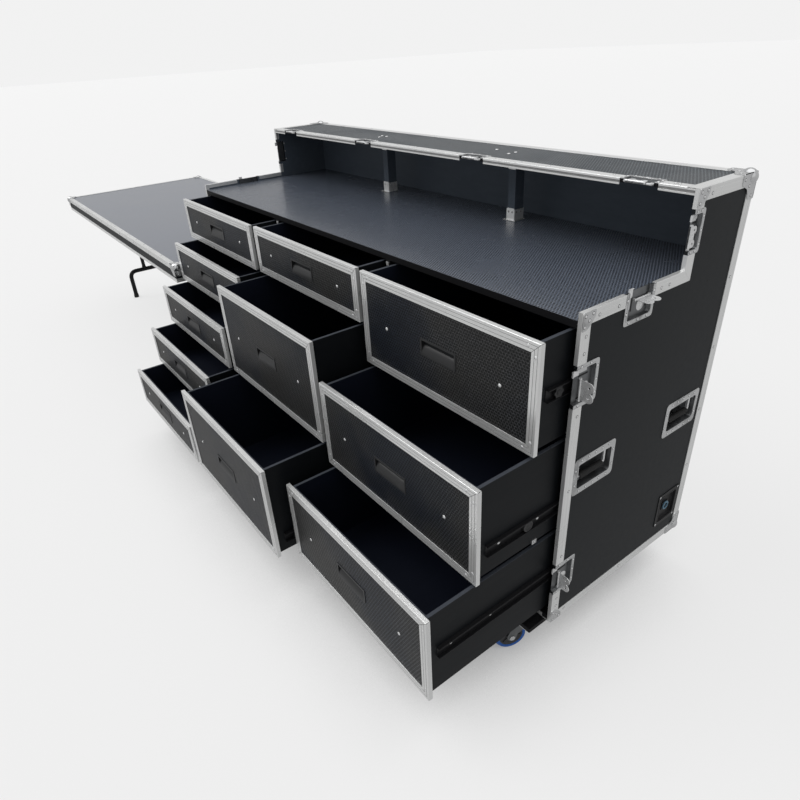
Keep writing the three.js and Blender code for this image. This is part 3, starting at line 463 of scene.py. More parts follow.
def shaded_pocket_steel(surface):
    """Plating darkened as painted shade inside the dishes' pockets and on the castors' fork cheeks, with
    random dull patches.
    """
    dirt = surface.noise(30.0, 4.0, 0.65)
    return surface.finish(
        Base_Color=surface.shade(tint("pocket"), 0.55 + dirt * 0.9), Metallic=0.9,
        Roughness=0.2 + dirt * 0.24, Normal=surface.relief(dirt, 0.0006, 0.3),
    )


def bright_steel(surface):
    """Newer plating, on rivets and on the moving parts of latches and handles."""
    cloud = surface.noise(60.0, 2.0, 0.5)
    return surface.finish(
        Base_Color=surface.shade(tint("bright"), 0.84 + cloud * 0.3), Metallic=0.5,
        Roughness=0.2 + cloud * 0.16, Normal=surface.relief(cloud, 0.0006, 0.3),
    )


def honeycomb(surface, u, v, dark, light, gloss, painted_glint_gain):
    """Black laminate with a pressed honeycomb; glints on its raised lines are painted into its colour, and
    random patches stand for wear and for painted sheen.
    """
    cell = surface.cells(u, v, settings().honeycomb)
    line = cell.rise(0.3, 0.46)
    fine = surface.noise(420.0, 2.0, 0.6)
    # Random patches that stand for wear and for painted sheen: the colour blends from the dark tone to the
    # light one where they rise.
    worn = surface.noise(3.2, 3.0, 0.55).rise(0.36, 0.66)
    # Painted glints: the raised lines are lightened in the colour, as if they caught the light.
    painted_glint = line * (0.35 + fine.rise(0.4, 0.7) * 1.8) * (1.35 - worn)
    colour = surface.shade(surface.blend(worn, dark, light), 0.5 + fine * 0.2 + painted_glint * painted_glint_gain)
    return surface.finish(
        Base_Color=colour, Roughness=gloss + fine * 0.16 - line * 0.08, Specular_IOR_Level=0.22,
        Normal=surface.relief(line + fine * 0.3, 0.0008, 0.9),
    )


def hex_front(surface):
    """The honeycomb of the drawers' fronts, which stand upright."""
    dark, light = tint("front_dark"), tint("front_light")
    return honeycomb(surface, surface.x, surface.z, dark, light, 0.36, 3.8)


def hex_top(surface):
    """The honeycomb of the hutch's top, which lies flat, in colours painted lighter than the fronts' as
    painted light from the sky.
    """
    return honeycomb(surface, surface.x, surface.y, tint("lit_top_dark"), tint("lit_top_light"), 0.42, 1.7)


def meshed_worktop(surface):
    """Anti-slip laminate: pale raised mesh round dark hollows. The mesh's paleness and blue-grey tint are
    partly its own tone and partly painted sheen of the pale surround.
    """
    cell = surface.cells(surface.x, surface.y, settings().worktop_mesh)
    ridge = cell.rise(0.24, 0.4)
    soft = surface.noise(5.0, 3.0, 0.6)
    speck = surface.noise(700.0, 2.0, 0.6)
    # The ridges are lightened partly for the mesh's own tone and partly as painted sheen.
    light = 0.02 + ridge * (0.5 + speck * 1.7) + (soft - 0.5) * 0.1
    return surface.finish(
        Base_Color=surface.shade(tint("worktop"), light), Roughness=0.24 - ridge * 0.06 + soft * 0.06,
        Normal=surface.relief(ridge, 0.0006, 0.6),
    )


def table_laminate(surface):
    """Glossy black laminate, painted blue-grey as a painted reflection of the pale surround, in which the
    honeycomb hardly shows.
    """
    cell = surface.cells(surface.x, surface.y, settings().honeycomb)
    line = cell.rise(0.33, 0.47)
    soft = surface.noise(3.0, 4.0, 0.6)
    light = 0.86 + line * 0.24 + (soft - 0.5) * 0.3
    return surface.finish(
        Base_Color=surface.shade(tint("table_laminate"), light), Roughness=0.24 + soft * 0.12,
        Coat_Weight=0.4, Coat_Roughness=0.14, Normal=surface.relief(line, 0.0002, 0.4),
    )


def groove_dirt_and_shade(surface):
    """Grey dirt and painted shade in the grooves of the edging."""
    grit = surface.noise(120.0, 3.0, 0.6)
    return surface.finish(
        Base_Color=surface.shade(tint("dirt_and_shade_tone"), 0.6 + grit * 0.8), Roughness=0.7 + grit * 0.1, Metallic=0.2)


def black_steel(surface):
    """Powder coat, worn paler in places."""
    grit = surface.noise(350.0, 2.0, 0.5)
    wear = surface.noise(22.0, 5.0, 0.7).rise(0.6, 0.8)
    return surface.finish(
        Base_Color=surface.shade(tint("black_steel"), 0.85 + grit * 0.3 + wear * 0.7),
        Specular_IOR_Level=0.22, Roughness=0.36 + grit * 0.12,
        Normal=surface.relief(grit, 0.0002, 0.3),
    )


def board(surface, name, low, grain):
    """A smooth dark board with a faint grain and scuffs."""
    fibres = surface.noise(60.0, 4.0, 0.6, surface.stretched(surface.places, grain))
    scuff = surface.noise(6.0, 5.0, 0.7).rise(0.58, 0.82)
    light = 0.9 + (fibres - 0.5) * 0.3 + scuff * 0.3
    return surface.finish(
        Base_Color=surface.shade(tint(name), light), Roughness=low + fibres * 0.14 + scuff * 0.1,
        Specular_IOR_Level=0.12, Normal=surface.relief(fibres, 0.0003, 0.25),
    )


def moulded(surface, name, low):
    """Moulded plastic with a fine texture."""
    pores = surface.noise(700.0, 2.0, 0.5)
    soft = surface.noise(18.0, 3.0, 0.5)
    return surface.finish(
        Base_Color=surface.shade(tint(name), 0.9 + pores * 0.1 + soft * 0.12),
        Roughness=low + pores * 0.14, Specular_IOR_Level=0.35, Normal=surface.relief(pores, 0.0002, 0.3),
    )


MAKERS = {maker.__name__: maker for maker in (
    brushed_aluminium, plated_steel, shaded_pocket_steel, bright_steel, hex_front, hex_top, meshed_worktop,
    table_laminate, groove_dirt_and_shade, black_steel,
)}
# Each board's colour, least roughness and the stretch of its grain.
BOARDS = {
    "charcoal_laminate": ("end_laminate", 0.42, (1.0, 1.0, 1.0)),
    "black_board": ("black_board", 0.5, (0.2, 1.0, 1.0)),
    "lit_inner_board": ("lit_inner_board", 0.34, (0.3, 1.0, 1.0)),
    "box_outside": ("box_outside", 0.4, (1.0, 0.15, 1.0)),
    "lit_box_inside": ("lit_box_inside", 0.55, (1.0, 0.15, 1.0)),
    "box_edge": ("box_edge", 0.5, (0.3, 0.3, 1.0)),
}
# Each plastic's colour and least roughness.
PLASTICS = {
    "black_plastic": ("black_plastic", 0.36), "pull_plastic": ("pull", 0.34), "rivet_shadow_ring": ("ring", 0.6),
    "shaded_grey_hub": ("hub", 0.42), "blue_tyre": ("tyre", 0.44), "teal_plastic": ("inlet", 0.3),
    "rubber": ("rubber", 0.62), "painted_hole_shade": ("recess", 0.7),
}


def material(name):
    """A finish by its name, made when it is first used."""
    found = bpy.data.materials.get("case " + name)
    if found:
        return found
    surface = Surface("case " + name)
    if name in BOARDS:
        return board(surface, *BOARDS[name])
    if name in PLASTICS:
        return moulded(surface, *PLASTICS[name])
    return MAKERS[name](surface)


ALLOY, PLATED, BRIGHT, SHADED_POCKET = "brushed_aluminium", "plated_steel", "bright_steel", "shaded_pocket_steel"
STEEL, BLACK = "black_steel", "black_plastic"


# Edging


def edging(face, leg, grooves):
    """Section of an angle: its face lies along X and its leg turns down along Y."""
    outline = [(0, 0.7), (0.7, 0)]
    for middle, width, depth in grooves:
        low, high = middle - width / 2, middle + width / 2
        outline += [(low, 0), (low + 0.2, depth), (high - 0.2, depth), (high, 0)]
    return outline + [(face, 0), (face, SHEET), (SHEET, SHEET), (SHEET, leg), (0, leg)]


def spans(length, breaks):
    """The stretches of a run that its breaks leave."""
    places = [0, *[place for gap in sorted(breaks) for place in gap], length]
    return list(zip(places[::2], places[1::2]))


def rivet_row(stock, start, end, across, spacing, margin, height=0.0, size=3.2):
    """Rivets along the middle of a face that looks against its own Y."""
    room = end - start - 2 * margin
    if room < 0:
        return
    count = max(1, round(room / spacing))
    for i in range(count + 1):
        stock.fix(across, height, start + margin + room * i / count, (0, -1, 0), size)


def ball_corner(stock, corner, inward, reach):
    """Three riveted sheet legs and a pressed ball over an outer corner."""
    base = place(corner, (inward[0], 0, 0), (0, inward[1], 0), (0, 0, inward[2]))
    edge = -1.6
    outline = softened([(edge, edge), (reach, edge), (reach, 24), (36, 36), (24, reach), (edge, reach)], 4)
    for axes in ((X, Y, Z), (Y, Z, X), (Z, X, Y)):
        stock.frame = base @ place((0, 0, 0), *axes)
        stock.prism(outline, edge, 0, PLATED)
        for x, y in ((reach - 9, 12), (12, reach - 9), (29, 29)):
            stock.fix(x, y, -1.5, (0, 0, -1), 3.2)
    stock.frame = base
    loops = []
    for row in range(13):
        angle = math.pi * row / 12
        ring = []
        for turn in range(24 if 0 < row < 12 else 1):
            spin = 2 * math.pi * turn / 24
            way = (math.sin(angle) * math.cos(spin), math.sin(angle) * math.sin(spin), math.cos(angle))
            point = [12 + 20.7 * part for part in way]
            # What would lie inside the corner is pressed flat against its nearest side.
            if min(point) > -0.4:
                point[point.index(min(point))] = -0.4
            ring.append(point)
        loops.append(ring)
    stock.loft(loops, PLATED)


def flat_brace(stock, base):
    """A flat riveted brace over a corner that has no ball."""
    stock.frame = base
    outline = softened([(0.6, 0.6), (42, 0.6), (42, 15), (30, 30), (15, 42), (0.6, 42)], 3)
    stock.prism(outline, -0.2, 1.3, PLATED)
    for x, y in ((9, 9), (33, 8), (8, 33), (22, 21)):
        stock.fix(x, y, 1.2)


# Each edge of an end: its start, its way and the way inward in Y and Z, its length, the width of its
# inner leg, the mitres of its ends and the latch dishes that break it.
END_RUNS = (
    ((0, 0), (1, 0), (0, 1), DEPTH, EDGE, (1, 1), ()),
    ((DEPTH, 0), (0, 1), (-1, 0), HEIGHT, EDGE, (1, 1), ()),
    ((DEPTH, HEIGHT), (-1, 0), (0, -1), DEPTH - RISER, EDGE, (1, 1), ()),
    ((RISER, HEIGHT), (0, -1), (1, 0), HEIGHT - STEP, INNER, (1, -1), ((44.5, 147.5),)),
    ((RISER, STEP), (-1, 0), (0, -1), RISER, INNER, (-1, 1), ((111.5, 218.5),)),
    ((0, STEP), (0, -1), (1, 0), STEP, INNER, (1, 1), ((120.5, 227.5), (701.5, 808.5))),
)
# The section of the thin leg that shows on the inside of an end's open edges.
INNER_LEG = ((0.2, 10.6), (14, 10.6), (14, 11), (0.6, 11.05))
# The grooves of the case's edging and of the drawers' frames: the middle, width and depth of each.
CASE_GROOVES = ((9, 1.4, 0.3), (26, 1.2, 0.3))
DRAWER_GROOVES = ((8, 1.2, 0.4), (17, 1.2, 0.4))
# Which sides of a section with two grooves lie in them, and take the grooves' dirt and painted shade.
GROOVE_SIDES = (2, 3, 4, 6, 7, 8)


def end_frame(name, face, out):
    """The edging round one end, with its corners, braces and the latches' dishes."""
    stock = Stock()
    for start, way, across, length, leg, mitres, breaks in END_RUNS:
        stock.frame = place((face, *start), (0, *across), (-out, 0, 0), (0, *way))
        section = edging(EDGE, leg, CASE_GROOVES)
        stretches = spans(length, breaks)
        for i, (low, high) in enumerate(stretches):
            first, last = i == 0, i == len(stretches) - 1
            cuts = (mitres[0] if first else 0, mitres[1] if last else 0)
            stock.run(section, low + 0.15, high - 0.15, cuts, ALLOY)
            rivet_row(stock, low + (44 if first else 12), high - (44 if last else 12), 18, 210, 12)
            if leg < EDGE:
                stock.run(INNER_LEG, low + 0.15, high - 0.15, (0, 0), ALLOY)
    for z, up in ((-0.3, 1), (HEIGHT + 0.3, -1)):
        ball_corner(stock, (face, DEPTH + 0.3, z), (-out, -1, up), 62)
    for y, z, up in ((0, 0, 1), (0, STEP, -1), (RISER, HEIGHT, -1)):
        flat_brace(stock, place((face, y, z), Y, (0, 0, up), (out, 0, 0)))
    for latch in end_latches(name, face, out):
        latch_dish(stock, latch)
    stock.piece("end_frame_" + name)


# Latches


# Width, depth and the reach of the wing of the large and the small latch, and their flange's width.
LARGE_LATCH, SMALL_LATCH = (107, 76, 36), (103, 41, 21)
FLANGE = 11


def latch_at(name, origin, along, inward, out, sizes, opened=False):
    """A latch's place, size and directions."""
    width, depth, reach = sizes
    return {
        "name": name, "frame": place(origin, along, inward, out), "width": width, "depth": depth,
        "reach": reach, "half": width / 2 - FLANGE, "length": depth - FLANGE,
        "pivot": depth - 17 - reach, "open": opened, "large": sizes == LARGE_LATCH,
    }


def end_latches(name, face, out):
    """The four latches of an end."""
    side, opened = (out, 0, 0), out > 0
    return (
        latch_at(name + "_lower", (face, 0, 162), Z, Y, side, LARGE_LATCH, opened),
        latch_at(name + "_upper", (face, 0, 743), Z, Y, side, LARGE_LATCH, opened),
        latch_at(name + "_step", (face, 199, STEP), (0, -1, 0), (0, 0, -1), side, LARGE_LATCH, opened),
        latch_at(name + "_riser", (face, RISER, 1004), Z, Y, side, SMALL_LATCH),
    )


HUTCH_LATCHES = tuple(
    latch_at("hutch_%d" % (i + 1), (share * LENGTH, RISER, HEIGHT), X, Y, Z, SMALL_LATCH)
    for i, share in enumerate((0.076, 0.351, 0.639, 0.924))
)


def latch_dish(stock, latch):
    """A flange and a pressed pocket open to the edge, with the hook and the wing's ears."""
    stock.frame = latch["frame"]
    side, half, length, depth = latch["width"] / 2, latch["half"], latch["length"], latch["depth"]
    stock.prism([*arch(side, depth, 9, 4), *arch(half, length, 6)[::-1]], -1.4, 0.3, PLATED)

    def wall(z, draw):
        outer = arch(half + 1.2 - draw, length + 1.2 - draw, 7)
        return level([*outer, *arch(half - draw, length - draw, 6)[::-1]], z)

    # Painted shade: the pocket's walls and floor take the darkened plating.
    stock.loft((wall(-0.3, 0), wall(-1.6, 0.2), wall(-8.6, 2.6)), SHADED_POCKET)
    stock.prism(arch(half - 2, length - 2, 6), -9.2, -8, SHADED_POCKET)
    bead = [*arch(half + 3.4, length + 3.4, 8, 4, 0.6), *arch(half + 0.6, length + 0.6, 6, 4, 0.6)[::-1]]
    stock.prism(bead, 0.1, 1.1, PLATED)
    # Painted shade: dark sheets stand for the slots and the hole in the pocket's floor.
    for x in (-half + 9, half - 21):
        stock.prism(oblong_at(x, length * 0.5, 2, length * 0.26, 1.9), -8.1, -7.6, "painted_hole_shade")
    stock.prism(circle(3.2, 12, half - 7, length - 9), -8.1, -7.6, "painted_hole_shade")
    stock.prism(oblong_at(half - 8.5, length * 0.42, 4, length * 0.22, 2), -8.1, -5.6, PLATED)
    pivot = latch["pivot"]
    base = stock.frame
    hook = [(-8, -6.5), (9, -6.5), (9, -8.4), (14, -8.4), (14, -4.5), (-6, -4.5), (-6, -2), (-8, -2)]
    stock.frame = base @ place((half - 15.3, 0, 0), Y, Z, X)
    stock.prism(softened(hook, 0.9, 2), 0, 14, BRIGHT)
    ear = softened([(-3, -8.4), (3, -8.4), (3, -3), (0, -1.7), (-3, -3)], 1.2, 2)
    for low in (-41.3, 13.3):
        stock.frame = base @ place((low, pivot, 0), Y, Z, X)
        stock.prism(ear, 0, 4, BRIGHT)
    drum = min(14, latch["reach"] / 2)
    stock.frame = base @ place((-12, pivot + latch["reach"] / 2, -8))
    stock.turn([
        (0, -0.2), (drum, -0.2), (drum, 0.8), (drum - 1.2, 1.3), (4, 1.3), (3.4, 1.8), (0, 1.9),
    ], BRIGHT)
    stock.frame = base
    for x in (-side + 5.5, side - 5.5):
        for share in (0.2, 0.62):
            stock.fix(x, share * depth, 0.3, size=3.3)
    for share in (-0.62, 0, 0.62):
        stock.fix(share * side, depth - 5.5, 0.3, size=3.3)
        if not latch["large"]:
            stock.fix(share * side, depth - 5.5, -INNER, (0, 0, -1), 2.6)


def latch_wing(latch):
    """A two-lobed wing hinged on its barrel."""
    stock = Stock()
    turned = Matrix.Rotation(math.pi / 2, 4, "X") if latch["open"] else Matrix.Identity(4)
    base = latch["frame"] @ place((-12, latch["pivot"], -4.5)) @ turned
    stock.frame = base
    radius = 12.3 if latch["large"] else 9.4
    middle = (25 - radius, latch["reach"] - radius)
    lobe = [
        (middle[0] + radius * math.cos(turn), middle[1] + radius * math.sin(turn))
        for turn in [math.radians(168 * i / 12) for i in range(13)]
    ]
    outline = [(25, 0), *lobe, *[(-x, y) for x, y in reversed(lobe)], (-25, 0)]
    holes = [circle(radius * 0.26, 14, side * middle[0], middle[1]) for side in (-1, 1)]
    stock.plate(outline, holes, -0.9, 0.9, BRIGHT)
    stock.frame = base @ place((-25, 0, 0), Z, Y, X)
    stock.turn([(0, 0), (2.6, 0), (2.6, 50), (0, 50)], BRIGHT, 16)
    stock.piece("latch_wing_" + latch["name"], 0.0004, own=True)


# Sprung handles and the inlet


def pressed_dish(stock, flange, mouth, floor, depth, finish, inside):
    """A rounded flange with a drawn pocket: half sizes and corner radius of each."""
    def grown(outline, more, z):
        x, y, radius = outline
        return level(oblong(x + more, y + more, radius + max(more, 0)), z)

    stock.loft((
        grown(floor, 1, -depth - 1), grown(mouth, 1, -2.4), grown(flange, 0, -1.6), grown(flange, 0, 0.2),
        grown(mouth, 3, 0.2), grown(mouth, 2, 0.9), grown(mouth, 0, 0.9), grown(mouth, -0.6, -2),
        grown(floor, 0, -depth + 1.5), grown(floor, -2, -depth),
    ), [finish] * 7 + [inside] * 4)


# The handles' pivots: how far up and how deep they lie in the dish.
PIVOT_UP, PIVOT_DEEP = 28.8, -10.5


def handle_frame(face, out, y):
    """The middle of a handle on an end, looking outward."""
    return place((face, y, HANDLE_Z), Y, Z, (out, 0, 0))


def handle_dishes(name, face, out):
    """The two dishes of an end's handles, with their rivets and pivot lugs."""
    stock = Stock()
    for _, y in HANDLE_Y:
        base = handle_frame(face, out, y)
        stock.frame = base
        # The dish's inside takes the darkened plating of painted shade.
        pressed_dish(stock, (78.4, 53.9, 11), (63.6, 35.6, 8), (61.5, 33.5, 9), 20.6, PLATED, SHADED_POCKET)
        for x in (-52, -26, 0, 26, 52):
            for up in (-46, 46):
                stock.fix(x, up, 0.2, size=3)
        for up in (-22, 22):
            for x in (-71.5, 71.5):
                stock.fix(x, up, 0.2, size=3)
        for side in (-1, 1):
            stock.frame = base @ place((side * 62.6, PIVOT_UP, PIVOT_DEEP), Z, Y, (-side, 0, 0))
            stock.hoop([(4, 0), (6.4, 0), (6.4, 2.6), (4, 2.6)], BRIGHT)
            stock.frame = base
            turn = circle(4.9, 12, PIVOT_UP, PIVOT_DEEP)
            coil = [(side * (54.5 + i / 12 * 1.1), *turn[i % 12]) for i in range(12 * 5)]
            stock.tube(coil, 0.5, PLATED, 6)
    stock.piece("handle_dishes_" + name, 0)


def handle_bail(name, face, out, y):
    """A bent rod with a ribbed grip."""
    stock = Stock()
    base = handle_frame(face, out, y)
    stock.frame = base
    grip, half = -11.2, 51.2
    path = [
        (-half - 12, PIVOT_UP), (-half, PIVOT_UP), (-half, grip),
        (half, grip), (half, PIVOT_UP), (half + 12, PIVOT_UP),
    ]
    stock.tube(level(bent(path, 7, 5), PIVOT_DEEP), 3.2, BRIGHT)
    stock.frame = base @ place((0, grip, PIVOT_DEEP), Z, Y, X)
    ribs = [(0, -44), (6.2, -44), (7.6, -42.6), (8.5, -40)]
    for i in range(16):
        middle = -37.5 + i * 5
        ribs += [(8.5, middle - 1.4), (7.9, middle - 0.8), (7.9, middle + 0.8), (8.5, middle + 1.4)]
    ribs += [(8.5, 40), (7.6, 42.6), (6.2, 44), (0, 44)]
    stock.turn(ribs, "rubber", 28)
    stock.piece(name, 0, own=True)


def inlet():
    """The power inlet in its dish, low on the right end."""
    base = place((LENGTH, INLET_Y, INLET_Z), Y, Z, X)
    dish = Stock()
    dish.frame = base
    pressed_dish(dish, (51.9, 59.9, 5), (38.6, 46.6, 5), (37.2, 45.2, 5), 8, STEEL, STEEL)
    for x in (-45, 45):
        for up in (-53, 53):
            dish.fix(x, up, 0.2, size=3.6, crossed=True)
    dish.piece("inlet_dish", 0)
    plug = Stock()
    plug.frame = base @ place((0, 0, -7.7))
    plug.prism(oblong(15, 15, 3), 0, 2, BLACK)
    plug.turn([(0, -6), (14.4, -6), (14.4, 5), (13, 5.8), (10, 5.8), (9.8, -4), (0, -4)], "teal_plastic", 32)
    plug.turn([(0, -5), (5, -5), (5, 2.2), (4.4, 2.8), (0, 2.8)], BLACK, 20)
    for degrees in (45, 135, 225, 315):
        turn = math.radians(degrees)
        plug.fix(13.02 * math.cos(turn), 13.02 * math.sin(turn), 2, size=1.6)
    plug.piece("power_inlet", 0.0003)


# Boards


def channel(base, tip, height):
    """Section of a runner: a web at its base and two lips turned towards its tip."""
    way = math.copysign(1, tip - base)
    half, foot, lip = height / 2, base + way * SHEET, way * 1.2
    return [
        (base, -half), (tip - lip, -half), (tip, -half + 1.2), (tip, -half + SHEET + 0.4),
        (foot, -half + SHEET), (foot, half - SHEET), (tip, half - SHEET - 0.4), (tip, half - 1.2),
        (tip - lip, half), (base, half),
    ]


# The room for a runner beside an end panel and beside a divider, and the lengths of its members.
END_SPACE, DIVIDER_SPACE, CASE_MEMBER, DRAWER_MEMBER = 13.9, 16.2, 540, 515
# How far up its front each drawer's runners lie, as a share of its height.
RUNNER_SHARES = {"drawer_r1": 0.5, "drawer_r2": 0.29, "drawer_r3": 0.5}
LOW_RUNNER = 0.17


def case_runner(stock, wall, way, height, space):
    """The outer member of a runner on a wall of the case, with its screws."""
    stock.frame = place((wall, 15, height), (way, 0, 0), Z, Y)
    stock.run(channel(-0.2, space - 3, 35), 0, CASE_MEMBER, (0, 0), STEEL)
    for along in (30, 150, 280, 410, 510):
        stock.fix(1.4, 0, along, X, 3.2, True)


def runner_heights(letter):
    """The heights of a column's runners, from its drawers as the frame holds them."""
    found = []
    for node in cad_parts:
        if node.startswith("drawer_" + letter):
            low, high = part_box(node)
            height = (high.z - low.z) * 1000
            share = RUNNER_SHARES.get(node, LOW_RUNNER)
            found.append((low.z - ORIGIN.z) * 1000 + height * share)
    return found


def end_panel(name, face, out):
    """A stepped board with notches for its latches and holes for its dishes."""
    stock = Stock()
    outline = [
        (1.8, 1.8), (608.2, 1.8), (608.2, 1098.2), (365.8, 1098.2), (365.8, 1046), (395.5, 1046),
        (395.5, 962), (365.8, 962), (365.8, 915.2), (243, 915.2), (243, 850.5), (155, 850.5), (155, 915.2),
        (1.8, 915.2), (1.8, 787), (66.5, 787), (66.5, 699), (1.8, 699), (1.8, 206), (66.5, 206), (66.5, 118),
        (1.8, 118),
    ]
    holes = [[(x + y, z + HANDLE_Z) for x, z in oblong(65.3, 37.3, 3, 2)] for _, y in HANDLE_Y]
    if out > 0:
        holes.append([(x + INLET_Y, z + INLET_Z) for x, z in oblong(40.4, 48.4, 3, 2)])
    stock.frame = place((face - out * INSET, 0, 0), Y, Z, (-out, 0, 0))
    # Painted light: the inner face is lightened from the outer laminate.
    stock.plate(outline, holes, 0, 9, "charcoal_laminate", "lit_inner_board")
    # Two dark discs of painted shade stand for two hollows in the panel.
    for y in (101.7, 482.6):
        stock.prism(circle(2.6, 12, y, 863.5), -0.15, 0.3, "painted_hole_shade")
    for height in runner_heights("r" if out > 0 else "l"):
        case_runner(stock, face - out * INNER, -out, height, END_SPACE)
    stock.piece("end_panel_" + name, 0)


def divider(name, middle, letters):
    """A board between two columns of drawers, with the runners that it carries."""
    stock = Stock()
    stock.block(middle - 9, middle + 9, 0.4, BACK, 17.1, 879.7, "black_board")
    stock.block(middle - 8, middle + 8, -0.4, 0.6, 17.4, 879.3, STEEL)
    stock.block(middle - 9, middle + 2, -1.6, 0.2, 864, 875, ALLOY)
    for letter, way in zip(letters, (-1, 1)):
        for height in runner_heights(letter):
            case_runner(stock, middle + way * 9, way, height, DIVIDER_SPACE)
    stock.piece("divider_" + name)


def worktop():
    """A black board under a meshed laminate."""
    stock = Stock()
    stock.block(LEFT, RIGHT, 0, BACK, WORKTOP_UNDER, WORKTOP_TOP - 1.4, "black_board")
    sheet = corners(LEFT, RIGHT, 0, BACK)
    stock.loft((level(sheet, WORKTOP_TOP - 1.3), level(sheet, WORKTOP_TOP)), [STEEL, STEEL, "meshed_worktop"])
    stock.piece("worktop", 0.0006)


def rear_edging():
    """The angles along the back and the strip along the bottom front edge."""
    length = LENGTH - 2 * PROFILE_START
    for name, z, up in (("rear_bottom_profile", 0, 1), ("rear_top_profile", HEIGHT, -1)):
        stock = Stock()
        stock.frame = place((PROFILE_START, DEPTH, z), (0, 0, up), (0, -1, 0), X)
        stock.run(edging(EDGE, EDGE, CASE_GROOVES), 0, length, (0, 0), ALLOY)
        rivet_row(stock, 0, length, 18, 210, 60)
        stock.piece(name)
    stock = Stock()
    stock.frame = place((PROFILE_START, 0, 0), Z, Y, X)
    strip = [(0, 0.4), (0.4, 0), (5.2, 0), (5.5, 0.5), (7.5, 0.5), (7.8, 0), (13, 0), (13, 1.5), (0, 1.5)]
    stock.run(strip, 0, length, (0, 0), ALLOY)
    rivet_row(stock, 0, length, 6.5, 160, 50, 0.4, 2.4)
    stock.piece("front_strip", 0.0002)


def plain_boards():
    """The bottom keeps its CAD shape and gets its finish. The back's inside is painted paler than its
    outside, as painted light.
    """
    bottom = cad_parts["bottom_panel"]
    bottom.data.materials.clear()
    bottom.data.materials.append(material("black_board"))
    stock = Stock()
    board = corners(LEFT, RIGHT, INSET, HEIGHT - INSET)
    stock.loft((upright(board, 599.2), upright(board, DEPTH - INSET)),
               ["lit_inner_board", "charcoal_laminate", "charcoal_laminate"])
    stock.piece("back_panel")


# Hutch


def hutch_top():
    """The top board, notched for the latches along its front edge."""
    stock = Stock()
    front, notch = RISER + INSET, RISER + 31.5
    outline = [(LEFT, front)]
    for latch in HUTCH_LATCHES:
        low, high = latch["frame"].translation.x - 42, latch["frame"].translation.x + 42
        outline += [(low, front), (low, notch), (high, notch), (high, front)]
    outline += [(RIGHT, front), (RIGHT, BACK), (LEFT, BACK)]
    loops = (level(outline, HEIGHT - INNER), level(outline, HEIGHT - INSET))
    stock.loft(loops, ["black_board", "black_board", "hex_top"])
    for x, y in ((660, 470), (672, 496), (642, 496), (1245, 506), (1331, 470), (1331, 500)):
        stock.fix(x, y, HEIGHT - INSET, size=5.6)
    stock.piece("top_panel", 0.0003)


def hutch_lip():
    """The grooved profile along the front of the hutch, with the dishes that break it."""
    stock = Stock()
    drop = [(1.5, 16), (0.3, 16), (0, 15.6), (0, 11.4), (0.9, 10.8), (0.9, 6.2), (0, 5.6)]
    section = [(0, 0.8), (0.8, 0), (30, 0), (30, 1.5), (1.5, 1.5), *drop]
    low, high = PROFILE_START, LENGTH - PROFILE_START
    breaks = []
    for latch in HUTCH_LATCHES:
        middle = latch["frame"].translation.x
        breaks.append((middle - 51.5 - low, middle + 51.5 - low))
    for start, end in spans(high - low, breaks):
        stock.frame = place((low, RISER, HEIGHT), Y, (0, 0, -1), X)
        # Sides 8 to 10 lie in the lip's groove and take its dirt and painted shade.
        stock.run(section, start, end, (0, 0), ALLOY, (8, 9, 10))
        rivet_row(stock, start, end, 20, 100, 30)
    for start, end in ((11.1, 30.2), (LENGTH - 30.2, LENGTH - 11.1)):
        stock.frame = place((0, RISER, HEIGHT), Y, (0, 0, -1), X)
        # Sides 5 to 7 lie in the groove and take its dirt and painted shade.
        stock.run([(0, 1.9), (1.5, 1.9), *drop], start, end, (0, 0), ALLOY, (5, 6, 7))
    for latch in HUTCH_LATCHES:
        latch_dish(stock, latch)
    stock.piece("hutch_lip_profile", 0.0003)


def hutch_post(name, middle):
    """A black post between two sheet brackets; its colour is painted lighter, as painted light inside the
    hutch.
    """
    stock = Stock()
    front, depth, height = 487, 38, 34
    half_depth = depth / 2
    stock.block(middle - 15, middle + 15, front, front + depth, WORKTOP_TOP + 2.4, HEIGHT - INNER - 2.4,
                "lit_inner_board")
    for seat, up in ((WORKTOP_TOP + 0.3, 1), (HEIGHT - INNER - 0.3, -1)):
        stock.frame = place((middle, front - 1, seat), X, (0, 0, up), Y)
        sheet = [
            (-17, 0), (17, 0), (17, height), (15, height), (15, 2), (-15, 2), (-15, height), (-17, height),
        ]
        stock.prism(sheet, 0, depth + 2, ALLOY)
        face = [
            (-16.8, 0.1), (16.8, 0.1), (16.8, height), (13, height + 3), (-13, height + 3), (-16.8, height),
        ]
        stock.prism(face, -1.4, 0.4, ALLOY)
        stock.frame = place((middle, front + half_depth - 3, seat), X, Y, (0, 0, up))
        stock.prism(oblong(27, 27, 3), 0, 1.6, PLATED)
        for side in (-1, 1):
            for across in (-20, 20):
                stock.fix(side * 22, across, 1.6, size=2.8, crossed=True)
            stock.fix(side * 8, 0.6 - half_depth, height - 8, (0, -1, 0), 2.8, True)
            for back in (10, 29):
                stock.fix(side * 17, back - half_depth, height - 8, (side, 0, 0), 2.6, True)
    stock.piece("hutch_post_" + name)


# Drawers

# The gaps from the fronts to the ends and between the columns, and how far a box stands in from the
# sides of its front.
END_GAP, COLUMN_GAP, BOX_INSET = 11.7, 24.4, 13
WIDTH = (LENGTH - 2 * END_GAP - 2 * COLUMN_GAP) / 3
COLUMNS = {"l": 0, "m": 1, "r": 2}


